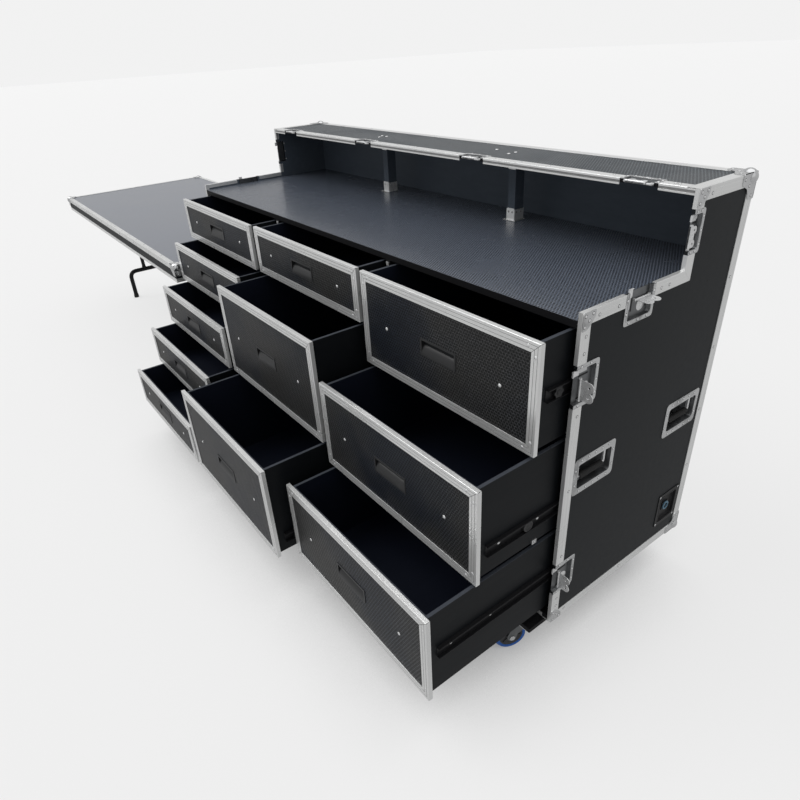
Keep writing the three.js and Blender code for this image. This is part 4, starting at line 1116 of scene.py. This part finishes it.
def drawer_front(stock, height):
    """The framed board with its recessed pull."""
    base = stock.frame
    face = [(x, y + 1.2) for x, y in edging(25, 12, DRAWER_GROOVES)]
    sides = (
        ((0, 0, 0), Z, X, WIDTH), ((0, 0, height), (0, 0, -1), X, WIDTH),
        ((0, 0, 0), X, Z, height), ((WIDTH, 0, 0), (-1, 0, 0), Z, height),
    )
    for origin, inward, way, length in sides:
        stock.frame = base @ place(origin, inward, Y, way)
        stock.run(face, 0.6, length - 0.6, (1, 1), ALLOY, GROOVE_SIDES)
        for along in (34, length - 34):
            stock.fix(12.5, 1.95, along, (0, -1, 0), 4.4)
    x, z = WIDTH / 2, height / 2
    stock.frame = base @ place((x, 0, z))
    pane, gap = corners(2 - x, x - 2, 2 - z, z - 2), corners(-62, 62, -19.6, 19.6)
    stock.loft((upright(pane, 2.85), upright(pane, 10.6), upright(gap, 10.6), upright(gap, 2.85)),
               ["black_board", "black_board", "black_board", "hex_front"], ring=True)
    for side in (-1, 1):
        stock.fix(side * (x - 110), 2.8, 0, (0, -1, 0), 5)
    rim, lip = oblong(66.5, 24, 2.5, 3), oblong(61, 18.5, 1.5, 3)
    stock.loft((upright(rim, 3.2), upright(rim, 1.4), upright(lip, 1.4), upright(lip, 3.2)),
               "pull_plastic", ring=True)
    ramp = []
    for step in range(13):
        turn = math.pi / 2 * step / 12
        ramp.append((1.6 + 13.9 * (1 - math.cos(turn)), -18.5 + 25 * math.sin(turn)))
    cup = [*ramp, (15.5, 18.5), (1.6, 18.5), (1.6, 20), (17, 20), (17, -20), (1.6, -20)]
    stock.frame = base @ place((x - 62.4, 0, z), Y, Z, X)
    stock.prism(cup, 0, 124.8, "pull_plastic")
    for low in (-0.1, 123.4):
        stock.prism(corners(1.5, 17, -20, 20), low, low + 1.5, "pull_plastic")
    stock.frame = base


def drawer_box(stock, height):
    """The box behind the front, open at the top, with a lighter edge round its rim."""
    left, right, wall = BOX_INSET, WIDTH - BOX_INSET, 9
    outer = corners(left, right, 10.5, 555.6)
    inner = corners(left + wall, right - wall, 10.5 + wall, 555.6 - wall)
    top = height - 5
    # Painted light: the inside faces take a navy lightened to offset the shade inside the boxes.
    stock.loft((
        level(outer, 5), level(outer, top - 0.8), level(outer, top),
        level(inner, top), level(inner, top - 0.8), level(inner, 11),
    ), ["box_outside"] * 2 + ["box_edge"] * 3 + ["lit_box_inside"] * 2)
    for x, way in ((left, -1), (right, 1)):
        for share in (0.14, 0.5, 0.86):
            stock.fix(x, 15, 5 + share * (height - 10), (way, 0, 0), 2.6, True)


def drawer_runner(stock, base, letter, height, screws):
    """The inner members of the runners on the sides of a box, held by screws at places along them."""
    left = END_SPACE if letter == "l" else DIVIDER_SPACE
    right = END_SPACE if letter == "r" else DIVIDER_SPACE
    for side, way, space in ((BOX_INSET, -1, left), (WIDTH - BOX_INSET, 1, right)):
        stock.frame = base @ place((side, 40, height), (way, 0, 0), Z, Y)
        stock.run(channel(-0.2, space - 3, 31.4), 0, DRAWER_MEMBER, (0, 0), STEEL)
        for along in screws:
            stock.fix(1.4, 0, along, X, 4.4)
    stock.frame = base


def drawer(node):
    """One drawer: its front, box and runners, where the frame holds it."""
    letter = node[7]
    low, high = (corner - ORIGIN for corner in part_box(node))
    height = (high.z - low.z) * 1000
    stock = Stock()
    base = place((END_GAP + COLUMNS[letter] * (WIDTH + COLUMN_GAP), low.y * 1000, low.z * 1000))
    stock.frame = base
    drawer_front(stock, height)
    drawer_box(stock, height)
    runner = height * RUNNER_SHARES.get(node, LOW_RUNNER)
    drawer_runner(stock, base, letter, runner, (250, 430) if node == "drawer_r1" else (42, 172, 430))
    side = WIDTH - BOX_INSET
    if node == "drawer_r1":
        stock.frame = base @ place((side, 75, 137), Y, Z, X)
        star = []
        for i in range(48):
            turn = 2 * math.pi * i / 48
            radius = 13.6 + 1.6 * math.cos(6 * turn)
            star.append((radius * math.cos(turn), radius * math.sin(turn)))
        stock.prism(star, 2, 9, BLACK)
        stock.turn([(0, -0.2), (7, -0.2), (7, 9.6), (6, 10.2), (0, 10.4)], BLACK)
    if node == "drawer_r2":
        stock.frame = base @ place((side + 1.4, 174, runner), Y, Z, X)
        roller = [(0, 0), (15, 0), (15, 7), (14, 7.8), (12.2, 7.8), (11.4, 7.2), (11.4, 6.4), (0, 6.4)]
        # The roller takes the hubs' grey, darkened as painted shade.
        stock.turn(roller, "shaded_grey_hub", 28)
        stock.turn([(0, 6.2), (11.2, 6.2), (11.2, 6.8), (3, 6.8), (2.6, 7.4), (0, 7.4)], BLACK)
        stock.frame = base
        stock.block(side - 0.2, side + 5, 196, 212, 4, 17, PLATED)
        stock.fix(side + 5, 204, 10.5, X, 2.6)
    stock.piece(node, own=True)


# Castors

# Each castor's place and the way that its fork points, in degrees.
CASTORS = (
    ("front_right", 1919, -23, 249), ("front_left", 81, -23, 244),
    ("rear_right", 1919, 500, 254), ("rear_left", 81, 500, 246),
)
# The axle's place from the middle of the plate.
AXLE_X, AXLE_Z = 38, -81


def castor_board():
    """The board under the case that carries the castors' plates."""
    stock = Stock()
    outline = [
        (20, -60), (1980, -60), (1980, 547.7), (1937.7, 547.7), (1937.7, DEPTH), (62.3, DEPTH),
        (62.3, 547.7), (20, 547.7),
    ]
    ring = [(0, -18.9), (31, -18.9), (31, -21), (29.4, -22), (29.4, -22.6), (31, -24), (0, -24)]
    stock.prism(softened(outline, 3, 2), -15, -0.3, "black_board")
    for _, x, y, _ in CASTORS:
        stock.frame = place((x, y, 0))
        stock.prism(oblong(52.5, 36, 5), -19, -14.9, PLATED)
        stock.turn(ring, PLATED, 40)
        for across in (-42, 42):
            for back in (-26, 26):
                stock.frame = place((x + across, y + back, -19), X, (0, -1, 0), (0, 0, -1))
                stock.prism(circle(6.5, 6), -0.2, 5, PLATED)
                stock.prism(circle(9, 20), -0.3, 1.4, PLATED)
    stock.piece("castor_board")


def castor(name, x, y, degrees):
    """A swivel fork and its wheel."""
    base = place((x, y, 0)) @ Matrix.Rotation(math.radians(degrees), 4, "Z")
    axle = base @ place((AXLE_X, 0, AXLE_Z), X, Z, Y)
    fork = Stock()
    fork.frame = base
    fork.turn([(0, -24.3), (29, -24.3), (30, -26), (30, -28.3), (0, -28.3)], PLATED, 40)
    fork.prism(softened([(-30, -22), (30, -22), (30, 22), (-30, 22)], 8), -28.3, -24.6, PLATED)
    fork.turn([(0, -28), (9, -28), (9, -33), (0, -33)], PLATED, 6)
    cheek = softened([
        (-30, -24.6), (-30, -30), (-12, -46), (22, -72), (26, -88), (38, -95), (50, -88), (53, -74),
        (44, -56), (32, -36), (30, -24.6),
    ], 5)
    fork.frame = base @ place((0, 0, 0), X, Z, Y)
    # The cheeks take the darkened plating of painted shade.
    for low in (-22, 19):
        fork.prism(cheek, low, low + 3, SHADED_POCKET)
    fork.frame = axle
    fork.turn([(0, -25), (6, -25), (6, 25), (0, 25)], PLATED, 20)
    for low in (-25.6, 22.2):
        fork.prism(circle(9, 6), low, low + 3.4, PLATED)
    fork.piece("castor_fork_" + name, own=True)
    wheel = Stock()
    wheel.frame = axle
    hub = [
        (6.4, -16), (13, -16), (13, -11), (30, -11), (33.6, -14.4), (35.4, -15), (35.4, 15), (33.6, 14.4),
        (30, 11), (13, 11), (13, 16), (6.4, 16),
    ]
    # The hub's grey is darkened as painted shade.
    wheel.hoop(hub, "shaded_grey_hub", 48)
    tread = [(35.6, -15.2), (38, -16), (44, -15.8)]
    for step in range(9):
        angle = math.radians(-80 + 20 * step)
        tread.append((45.4 + 4.55 * math.cos(angle), 11.2 * math.sin(angle)))
    tread += [(44, 15.8), (38, 16), (35.6, 15.2)]
    wheel.hoop(tread, "blue_tyre", 64)
    for face in (-1, 1):
        for spoke in range(6):
            turn = math.radians(60 * spoke + 15)
            wheel.frame = axle @ Matrix.Rotation(turn, 4, "Z")
            wheel.block(12.6, 32, -1.6, 1.6, face * 12.3 - 1.7, face * 12.3 + 1.7, "shaded_grey_hub")
    wheel.piece("castor_wheel_" + name, 0.0004, own=True)


# Table


# The legs' pivot rods, and how far the struts and the feet stand from the table's middle.
ROD_Z, STRUT, FOOT = 568.2, 131, 237


def table_corners(inset):
    """The outline of the table, drawn in by an inset."""
    return corners(TABLE_LEFT + inset, TABLE_RIGHT - inset, TABLE_FRONT + inset, TABLE_BACK - inset)


def table_runs():
    """Each side of the table: its start, its way, the way inward and its length."""
    near_left, near_right, far_right, far_left = table_corners(0)
    length, depth = TABLE_RIGHT - TABLE_LEFT, TABLE_BACK - TABLE_FRONT
    return (
        (near_left, (1, 0), (0, 1), length), (far_right, (-1, 0), (0, -1), length),
        (near_right, (0, 1), (-1, 0), depth), (far_left, (0, -1), (1, 0), depth),
    )


def table_top_frame():
    """The angle round the top of the table, with its ball corners."""
    stock = Stock()
    section = edging(22, 24, ((7, 1.4, 0.5),))
    for start, way, inward, length in table_runs():
        stock.frame = place((*start, TABLE_TOP), (*inward, 0), (0, 0, -1), (*way, 0))
        stock.run(section, 0.15, length - 0.15, (1, 1), ALLOY)
        rivet_row(stock, 0, length, 15, 125, 82)
        stock.frame = place((*start, TABLE_TOP), (0, 0, -1), (*inward, 0), (*way, 0))
        rivet_row(stock, 0, length, 15, 125, 110)
    for x, to_x in ((TABLE_LEFT, 1), (TABLE_RIGHT, -1)):
        for y, to_y in ((TABLE_FRONT, 1), (TABLE_BACK, -1)):
            ball_corner(stock, (x, y, TABLE_TOP), (to_x, to_y, -1), 50)
    stock.piece("table_top_frame")


def table_rim():
    """The boards round the table and the lipped profile along their lower edge."""
    stock = Stock()
    outer, inner, low, high = table_corners(INSET), table_corners(INNER), TABLE_UNDER + 1.6, 593.9
    stock.loft((level(outer, low), level(outer, high), level(inner, high), level(inner, low)),
               "charcoal_laminate", ring=True)
    section = [
        (0, 0), (12, 0), (12, 1.5), (1.5, 1.5), (1.5, 17), (0.3, 17), (0, 16.6), (0, 12.4), (0.9, 11.8),
        (0.9, 7.2), (0, 6.6),
    ]
    for start, way, inward, length in table_runs():
        stock.frame = place((*start, TABLE_UNDER), (*inward, 0), Z, (*way, 0))
        stock.run(section, 0.15, length - 0.15, (1, 1), ALLOY)
    stock.piece("table_rim", 0.0003)


def table_top():
    """The glossy board and the brackets of the legs under it."""
    stock = Stock()
    sheet = table_corners(INSET)
    stock.loft((level(sheet, 594.2), level(sheet, 603.2)), ["black_board", "black_board", "table_laminate"])
    ear = softened([(-22, 594), (-22, 580), (-10, 559.2), (10, 559.2), (22, 580), (22, 594)], 5)
    for _, x in TABLE_LEGS:
        for side in (-1, 1):
            base = place((x, TABLE_MIDDLE, 0), X, (0, side, 0), Z)
            stock.frame = base
            stock.block(-22, 22, 141.3, 181.3, 591.4, 594.3, STEEL)
            stock.frame = base @ place((0, 141.3, 0), X, Z, Y)
            stock.plate(ear, [circle(7, 16, 0, ROD_Z)], 0, 3, STEEL)
            stock.frame = base
            for across in (-13, 13):
                stock.fix(across, 166, 591.4, (0, 0, -1), 4, True)
    stock.piece("table_top", 0.0003)


def table_leg(name, x):
    """A bent foot tube, two struts, a pivot rod and rubber feet."""
    stock = Stock()
    base = place((x, TABLE_MIDDLE, 0))
    stock.frame = base
    bar, end = 59, FLOOR + 9
    foot = [(0, -FOOT, end), (0, -FOOT, bar), (0, FOOT, bar), (0, FOOT, end)]
    stock.tube(bent(foot, 48, 10), 14, STEEL, 20)
    for side in (-1, 1):
        stock.frame = base
        stock.tube([(0, side * STRUT, bar), (0, side * STRUT, ROD_Z)], 12, STEEL, 18)
        stock.frame = base @ place((0, side * STRUT, 0))
        stock.turn([(0, 71), (13.2, 71), (14.2, 73), (14.2, 79), (13.2, 81), (0, 81)], STEEL)
        stock.frame = base @ place((0, side * FOOT, FLOOR))
        stock.turn([(0, 0.05), (14.6, 0.05), (16.4, 2), (16.4, 19), (15.2, 22), (0, 22)], "rubber", 28)
    stock.frame = base
    stock.tube([(0, -153, ROD_Z), (0, 153, ROD_Z)], 6, PLATED, 16)
    stock.piece("table_leg_" + name, 0.0004, own=True)


# Rivets and screws


def fixings_tree():
    """Sets a domed head on each point over a thin dark disc of painted shadow, with a cross of painted shade
    in it where the point asks for one.
    """
    group = bpy.data.node_groups.new("Domed heads", "GeometryNodeTree")
    group.interface.new_socket("Points", in_out="INPUT", socket_type="NodeSocketGeometry")
    for name, value in (("Head Height", 0.42), ("Cross Width", 0.26), ("Cross Length", 0.62)):
        socket = group.interface.new_socket(name, in_out="INPUT", socket_type="NodeSocketFloat")
        socket.default_value = value
    seed = group.interface.new_socket("Turn Seed", in_out="INPUT", socket_type="NodeSocketInt")
    seed.default_value = 7
    group.interface.new_socket("Heads", in_out="OUTPUT", socket_type="NodeSocketGeometry")
    tree = Tree(group)
    given = tree.node("NodeGroupInput").outputs

    def attribute(name, kind):
        values = {"data_type": kind}
        return tree.result("GeometryNodeInputNamedAttribute", {"Name": name}, values, "Attribute")

    def joined(shapes):
        join = tree.node("GeometryNodeJoinGeometry")
        for shape in shapes:
            group.links.new(shape, join.inputs[0])
        return join.outputs[0]

    ball = tree.result("GeometryNodeMeshUVSphere", {"Segments": 14, "Rings": 8, "Radius": 1.0}, output="Mesh")
    spot = tree.node("ShaderNodeSeparateXYZ", None, {0: tree.result("GeometryNodeInputPosition")}).outputs
    head_height = Number(tree, given["Head Height"])
    high = Number(tree, spot[2]).most(0.0) * head_height
    dome_spot = tree.result("ShaderNodeCombineXYZ", {0: spot[0], 1: spot[1], 2: high})
    dome = tree.result("GeometryNodeSetPosition", {"Geometry": ball, "Position": dome_spot})
    dome = tree.result("GeometryNodeSetShadeSmooth", {"Geometry": dome})
    # The cross is two dark bars on the dome that stand for the shade in a screw's cross-shaped hole.
    wide, long = (Number(tree, given[key]) for key in ("Cross Width", "Cross Length"))
    top = head_height * 2.06
    bars = []
    for sizes in ((wide, long * 2, top), (long * 2, wide, top)):
        size = tree.result("ShaderNodeCombineXYZ", dict(enumerate(sizes)))
        bars.append(tree.result("GeometryNodeMeshCube", {"Size": size}, output="Mesh"))
    cross = joined(bars)
    seed = {2: 0.0, 3: 3.14, "Seed": given["Turn Seed"]}
    turn = tree.result("FunctionNodeRandomValue", seed, {"data_type": "FLOAT"}, 1)
    spin = tree.result("FunctionNodeEulerToRotation", {0: tree.result("ShaderNodeCombineXYZ", {2: turn})})
    facing = tree.result(
        "FunctionNodeAlignRotationToVector", {"Vector": attribute("facing", "FLOAT_VECTOR")}, {"axis": "Z"})
    rotation = tree.result(
        "FunctionNodeRotateRotation", {"Rotation": facing, "Rotate By": spin}, {"rotation_space": "LOCAL"})
    # The rim is a thin dark disc under each head, a painted shadow.
    sizes = {"Vertices": 14, "Radius": 1.27, "Depth": 0.12}
    rim = tree.result("GeometryNodeMeshCylinder", sizes, output="Mesh")
    size = attribute("size", "FLOAT")
    heads = []
    for shape, finish in ((dome, "bright_steel"), (rim, "rivet_shadow_ring"), (cross, "painted_hole_shade")):
        sockets = {"Points": given["Points"], "Instance": shape, "Rotation": rotation, "Scale": size}
        if shape == cross:
            sockets["Selection"] = attribute("crossed", "BOOLEAN")
        spread = tree.result("GeometryNodeInstanceOnPoints", sockets)
        solid = tree.result("GeometryNodeRealizeInstances", {"Geometry": spread})
        sockets = {"Geometry": solid, "Material": material(finish)}
        heads.append(tree.result("GeometryNodeSetMaterial", sockets))
    tree.node("NodeGroupOutput", None, {0: joined(heads)})
    return group


def fixings(body, places, group):
    """The rivets and screws of one body, as one plain mesh."""
    name = "fixings_" + body
    points = bpy.data.meshes.new(name + "_points")
    points.from_pydata([ORIGIN + spot / 1000 for spot, _, _, _ in places], [], [])
    for key, kind in (("facing", "FLOAT_VECTOR"), ("size", "FLOAT"), ("crossed", "BOOLEAN")):
        points.attributes.new(key, kind, "POINT")
    facing, size, crossed = (points.attributes[key].data for key in ("facing", "size", "crossed"))
    for i, (_, way, radius, cross) in enumerate(places):
        facing[i].vector = way
        size[i].value = radius / 1000 * settings().head_size
        crossed[i].value = cross
    made = bpy.data.objects.new(name, points)
    bpy.context.scene.collection.objects.link(made)
    heads = made.modifiers.new("Domed heads", "NODES")
    heads.node_group = group
    for item in group.interface.items_tree:
        if item.in_out == "INPUT" and item.name == "Head Height":
            heads[item.identifier] = settings().head_height
    ready = made.evaluated_get(bpy.context.evaluated_depsgraph_get())
    mesh = bpy.data.meshes.new_from_object(ready)
    made.modifiers.clear()
    made.data = mesh
    for attribute in [a.name for a in mesh.attributes if a.name in ("facing", "size", "crossed")]:
        mesh.attributes.remove(mesh.attributes[attribute])
    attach(made, body)


# Stage


# The camera's place, and its ways to the right, up and back.
CAMERA_PLACE = (2.736626, -1.089482, 1.537392)
CAMERA_AXES = (
    (0.604885, 0.794693, -0.050763), (-0.37665, 0.34169, 0.861036), (0.701604, -0.501708, 0.506005),
)
CAMERA_SENSOR, CAMERA_LENS = 36, 27.46
# The floor's own shade and glow, how brightly things see it, and the share of its glow left where the painted
# shadow by the case is darkest.
FLOOR_SHADE, FLOOR_GLOW, FLOOR_LIGHT, FLOOR_PAINTED_SHADOW = 0.12, 0.705, 0.53, 0.28


def grey(value):
    """A grey, as a socket's value."""
    return (value, value, value, 1)


def stage():
    """A pale floor, soft lamps, a pale surround and the camera."""
    values = settings()
    floor = bpy.data.meshes.new("floor")
    reach = 60.0
    floor.from_pydata(level(corners(-reach, reach, -reach, reach), 0), [], [(0, 1, 2, 3)])
    surface = Surface("stage floor")
    soft = surface.noise(0.6, 2.0, 0.5)
    direct = surface.result("ShaderNodeLightPath", output="Is Camera Ray")
    # Painted shadow: the glow that the camera sees is darkened where ambient occlusion finds the case near.
    near = surface.result("ShaderNodeAmbientOcclusion", {"Distance": 0.4}, {"samples": 8}, "AO")
    clear_of_case = Number(surface, near).rise(0.0, 0.85)
    painted_contact_shadow = surface.shade(grey(1), FLOOR_PAINTED_SHADOW + clear_of_case * (1 - FLOOR_PAINTED_SHADOW))
    floor.materials.append(surface.finish(
        Base_Color=surface.shade(grey(FLOOR_SHADE), 0.99 + soft * 0.02), Roughness=0.9,
        Emission_Color=surface.blend(direct, grey(FLOOR_LIGHT), painted_contact_shadow), Emission_Strength=FLOOR_GLOW,
    ))
    made = bpy.data.objects.new("floor", floor)
    bpy.context.scene.collection.objects.link(made)
    world = bpy.data.worlds.new("surround")
    bpy.context.scene.world = world
    world.use_nodes = True
    tree = Tree(world.node_tree)
    world.node_tree.nodes.clear()
    rays = tree.node("ShaderNodeLightPath").outputs
    seen = Number(tree, rays["Is Camera Ray"]) * (values.backdrop - values.surround)
    mirrored = Number(tree, rays["Is Glossy Ray"]) * (values.mirrored - values.surround)
    sockets = {"Color": grey(1), "Strength": seen + mirrored + values.surround}
    tree.node("ShaderNodeOutputWorld", None, {"Surface": tree.result("ShaderNodeBackground", sockets)})
    lamps = (
        ("key", (-0.45, -0.5, 0.75), values.key_lamp, 0.7),
        ("side", (0.8, -0.1, 0.45), values.side_lamp, 0.9),
        ("top", (0.1, 0.15, 1.0), values.top_lamp, 1.2),
    )
    for name, way, power, softness in lamps:
        lamp = bpy.data.lights.new(name, "SUN")
        lamp.energy = power
        lamp.angle = softness
        holder = bpy.data.objects.new(name, lamp)
        holder.rotation_euler = Vector(way).to_track_quat("Z", "Y").to_euler()
        bpy.context.scene.collection.objects.link(holder)
    camera = bpy.data.cameras.new("photo angle")
    camera.sensor_width = CAMERA_SENSOR
    camera.lens = CAMERA_LENS
    holder = bpy.data.objects.new("photo angle", camera)
    holder.matrix_world = place(CAMERA_PLACE, *CAMERA_AXES)
    bpy.context.scene.collection.objects.link(holder)
    bpy.context.scene.camera = holder
    bpy.context.scene.view_settings.view_transform = "Standard"


# Add-on


def colour(name, value, description):
    """A setting for a colour."""
    return bpy.props.FloatVectorProperty(
        name=name, description=description, default=value, subtype="COLOR", size=3, min=0, max=1,
    )


def amount(name, value, description, unit="NONE"):
    """A setting for a length or a strength."""
    return bpy.props.FloatProperty(name=name, description=description, default=value, unit=unit)


class RoadCaseSettings(bpy.types.PropertyGroup):
    """Sizes and colours of the road case."""

    edge_rounding: amount("Edge Rounding", 0.00035, "How far sharp edges are rounded", "LENGTH")
    honeycomb: amount("Honeycomb Pitch", 0.0088, "Width of one cell of the laminate", "LENGTH")
    worktop_mesh: amount("Worktop Mesh Pitch", 0.0081, "Width of one mesh of the worktop", "LENGTH")
    head_size: amount("Head Size", 1.0, "Scale of the rivets and screws")
    head_height: amount("Head Height", 0.42, "Height of a head as a share of its radius")
    key_lamp: amount("Key Light", 1.45, "Strength of the front lamp")
    side_lamp: amount("Side Light", 0.15, "Strength of the right lamp")
    top_lamp: amount("Top Light", 1.0, "Strength of the upper lamp")
    surround: amount("Surround", 0.5, "Strength of the surrounding light")
    mirrored: amount("Mirrored Light", 0.62, "Strength of the light in reflections")
    backdrop: amount("Backdrop", 0.885, "Brightness of the backdrop")
    aluminium: colour("Aluminium", (0.78, 0.785, 0.782), "Edging and drawer frames")
    plating: colour("Plating", (0.55, 0.555, 0.56), "Latch dishes and corners")
    bright: colour("Bright Plating", (0.74, 0.745, 0.75), "Rivets, latch wings and handles")
    # The fronts' light tone, reached in random patches, partly stands for painted sheen.
    front_dark: colour("Front Dark", (0.0028, 0.0036, 0.0054), "Drawer fronts where they are darkest")
    front_light: colour("Front Light", (0.0175, 0.0175, 0.0172), "Drawer fronts where they are lightest")
    # Painted light: the hutch's top is the fronts' laminate, lightened for the light that falls on its flat
    # face.
    lit_top_dark: colour("Top Dark", (0.027, 0.032, 0.037), "Hutch top where it is darkest")
    lit_top_light: colour("Top Light", (0.08, 0.088, 0.095), "Hutch top where it is lightest")
    # Painted shade: plating darkened for the insides of the dishes and the castors' fork cheeks.
    pocket: colour("Pocket Steel", (0.15, 0.155, 0.16), "Insides of the dishes")
    pull: colour("Pull", (0.017, 0.0175, 0.0185), "Recessed pulls")
    # Painted shadow: the dark rings round the rivet heads.
    ring: colour("Ring", (0.05, 0.05, 0.05), "Rings under the rivets")
    # Partly the worktop's own tone and partly painted sheen of the pale surround.
    worktop: colour("Worktop", (0.076, 0.088, 0.112), "Meshed worktop")
    # Painted reflection: the table's black top lightened to the blue-grey of the surround that it reflects.
    table_laminate: colour("Table Laminate", (0.125, 0.138, 0.17), "Top of the table")
    end_laminate: colour("End Laminate", (0.0145, 0.0163, 0.018), "End panels, back and rim of the table")
    black_board: colour("Black Board", (0.008, 0.008, 0.009), "Dividers, bottom and castor board")
    # Painted light: the dark laminate lightened for the inside of the hutch and the inner faces of the ends
    # and back.
    lit_inner_board: colour("Inner Board", (0.075, 0.092, 0.116), "Inside of the hutch")
    # Dirt and painted shade in the grooves of the edging.
    dirt_and_shade_tone: colour("Grime", (0.24, 0.24, 0.24), "Grooves of the edging")
    box_outside: colour("Box Outside", (0.006, 0.007, 0.0085), "Outside of the drawer boxes")
    # Navy inside of the boxes, painted lighter as painted light for the shade they lie in.
    lit_box_inside: colour("Box Inside", (0.0065, 0.009, 0.018), "Inside of the drawer boxes")
    box_edge: colour("Box Edge", (0.05, 0.056, 0.068), "Rims of the drawer boxes")
    black_steel: colour("Black Steel", (0.008, 0.008, 0.009), "Runners and table legs")
    black_plastic: colour("Black Plastic", (0.009, 0.009, 0.01), "Knobs, sockets and covers")
    # Painted shade: grey hubs darkened for the shade under the case.
    hub: colour("Hub", (0.035, 0.035, 0.037), "Hubs of the wheels")
    tyre: colour("Tyre", (0.01, 0.085, 0.34), "Treads of the wheels")
    inlet: colour("Inlet", (0.095, 0.18, 0.25), "Power inlet")
    rubber: colour("Rubber", (0.012, 0.012, 0.012), "Grips and feet")
    # Painted shade for the screws' crosses, and for slots and holes.
    recess: colour("Recess", (0.01, 0.01, 0.01), "Recesses of the screws")


class Builder:
    """What the operators share."""

    bl_options = {"REGISTER", "UNDO"}

    def execute(self, context):
        self.build()
        return {"FINISHED"}


class ROADCASE_OT_stage(Builder, bpy.types.Operator):
    """Adds the floor, lamps, surround and camera"""

    bl_idname = "road_case.stage"
    bl_label = "Stage"

    def build(self):
        stage()


class ROADCASE_OT_boards(Builder, bpy.types.Operator):
    """Adds the end panels, dividers and worktop, and finishes the back and bottom"""

    bl_idname = "road_case.boards"
    bl_label = "Boards"

    def build(self):
        for end in ENDS:
            end_panel(*end)
        for (name, middle), letters in zip(DIVIDERS, ("lm", "mr")):
            divider(name, middle, letters)
        worktop()
        plain_boards()


class ROADCASE_OT_edging(Builder, bpy.types.Operator):
    """Adds the edging of the ends with its corners and latch dishes, and the long profiles"""

    bl_idname = "road_case.edging"
    bl_label = "Edging"

    def build(self):
        for end in ENDS:
            end_frame(*end)
        rear_edging()


class ROADCASE_OT_hutch(Builder, bpy.types.Operator):
    """Adds the hutch's top, its grooved lip and its posts"""

    bl_idname = "road_case.hutch"
    bl_label = "Hutch"

    def build(self):
        hutch_top()
        hutch_lip()
        for post in DIVIDERS:
            hutch_post(*post)


class ROADCASE_OT_latches(Builder, bpy.types.Operator):
    """Adds the wing of each latch"""

    bl_idname = "road_case.latches"
    bl_label = "Latch Wings"

    def build(self):
        for latch in [latch for end in ENDS for latch in end_latches(*end)] + list(HUTCH_LATCHES):
            latch_wing(latch)


class ROADCASE_OT_handles(Builder, bpy.types.Operator):
    """Adds the handles in their dishes"""

    bl_idname = "road_case.handles"
    bl_label = "Handles"

    def build(self):
        for name, face, out in ENDS:
            handle_dishes(name, face, out)
            for side, y in HANDLE_Y:
                handle_bail("handle_%s_%s" % (name, side), face, out, y)


class ROADCASE_OT_inlet(Builder, bpy.types.Operator):
    """Adds the power inlet and its dish"""

    bl_idname = "road_case.inlet"
    bl_label = "Power Inlet"

    def build(self):
        inlet()


class ROADCASE_OT_drawers(Builder, bpy.types.Operator):
    """Adds the drawers"""

    bl_idname = "road_case.drawers"
    bl_label = "Drawers"

    def build(self):
        for node in sorted(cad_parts):
            if node.startswith("drawer_"):
                drawer(node)


class ROADCASE_OT_castors(Builder, bpy.types.Operator):
    """Adds the castor board, the forks and the wheels"""

    bl_idname = "road_case.castors"
    bl_label = "Castors"

    def build(self):
        castor_board()
        for each in CASTORS:
            castor(*each)


class ROADCASE_OT_table(Builder, bpy.types.Operator):
    """Adds the cover as a table on its folding legs"""

    bl_idname = "road_case.table"
    bl_label = "Table"

    def build(self):
        table_top()
        table_rim()
        table_top_frame()
        for leg in TABLE_LEGS:
            table_leg(*leg)


class ROADCASE_OT_fixings(Builder, bpy.types.Operator):
    """Adds the rivets and screws of every body"""

    bl_idname = "road_case.fixings"
    bl_label = "Rivets and Screws"

    def build(self):
        group = fixings_tree()
        for body, places in sorted(FIXINGS.items()):
            if places:
                fixings(body, places, group)


OPERATORS = (
    ROADCASE_OT_stage, ROADCASE_OT_boards, ROADCASE_OT_edging, ROADCASE_OT_hutch, ROADCASE_OT_latches,
    ROADCASE_OT_handles, ROADCASE_OT_inlet, ROADCASE_OT_drawers, ROADCASE_OT_castors, ROADCASE_OT_table,
    ROADCASE_OT_fixings,
)


class ROADCASE_PT_panel(bpy.types.Panel):
    """Lists the steps that build the road case"""

    bl_idname = "ROADCASE_PT_panel"
    bl_label = "Road Case"
    bl_space_type = "VIEW_3D"
    bl_region_type = "UI"
    bl_category = "Road Case"

    def draw(self, context):
        column = self.layout.column()
        for operator in OPERATORS:
            column.operator(operator.bl_idname)
        for key in RoadCaseSettings.__annotations__:
            column.prop(context.scene.road_case, key)


CLASSES = (RoadCaseSettings, *OPERATORS, ROADCASE_PT_panel)


def register():
    for kind in CLASSES:
        bpy.utils.register_class(kind)
    bpy.types.Scene.road_case = bpy.props.PointerProperty(type=RoadCaseSettings)


def unregister():
    del bpy.types.Scene.road_case
    for kind in reversed(CLASSES):
        bpy.utils.unregister_class(kind)


def main():
    """Builds everything in order."""
    register()
    for operator in OPERATORS:
        getattr(bpy.ops.road_case, operator.bl_idname.split(".")[1])()


if __name__ == "__main__":
    main()
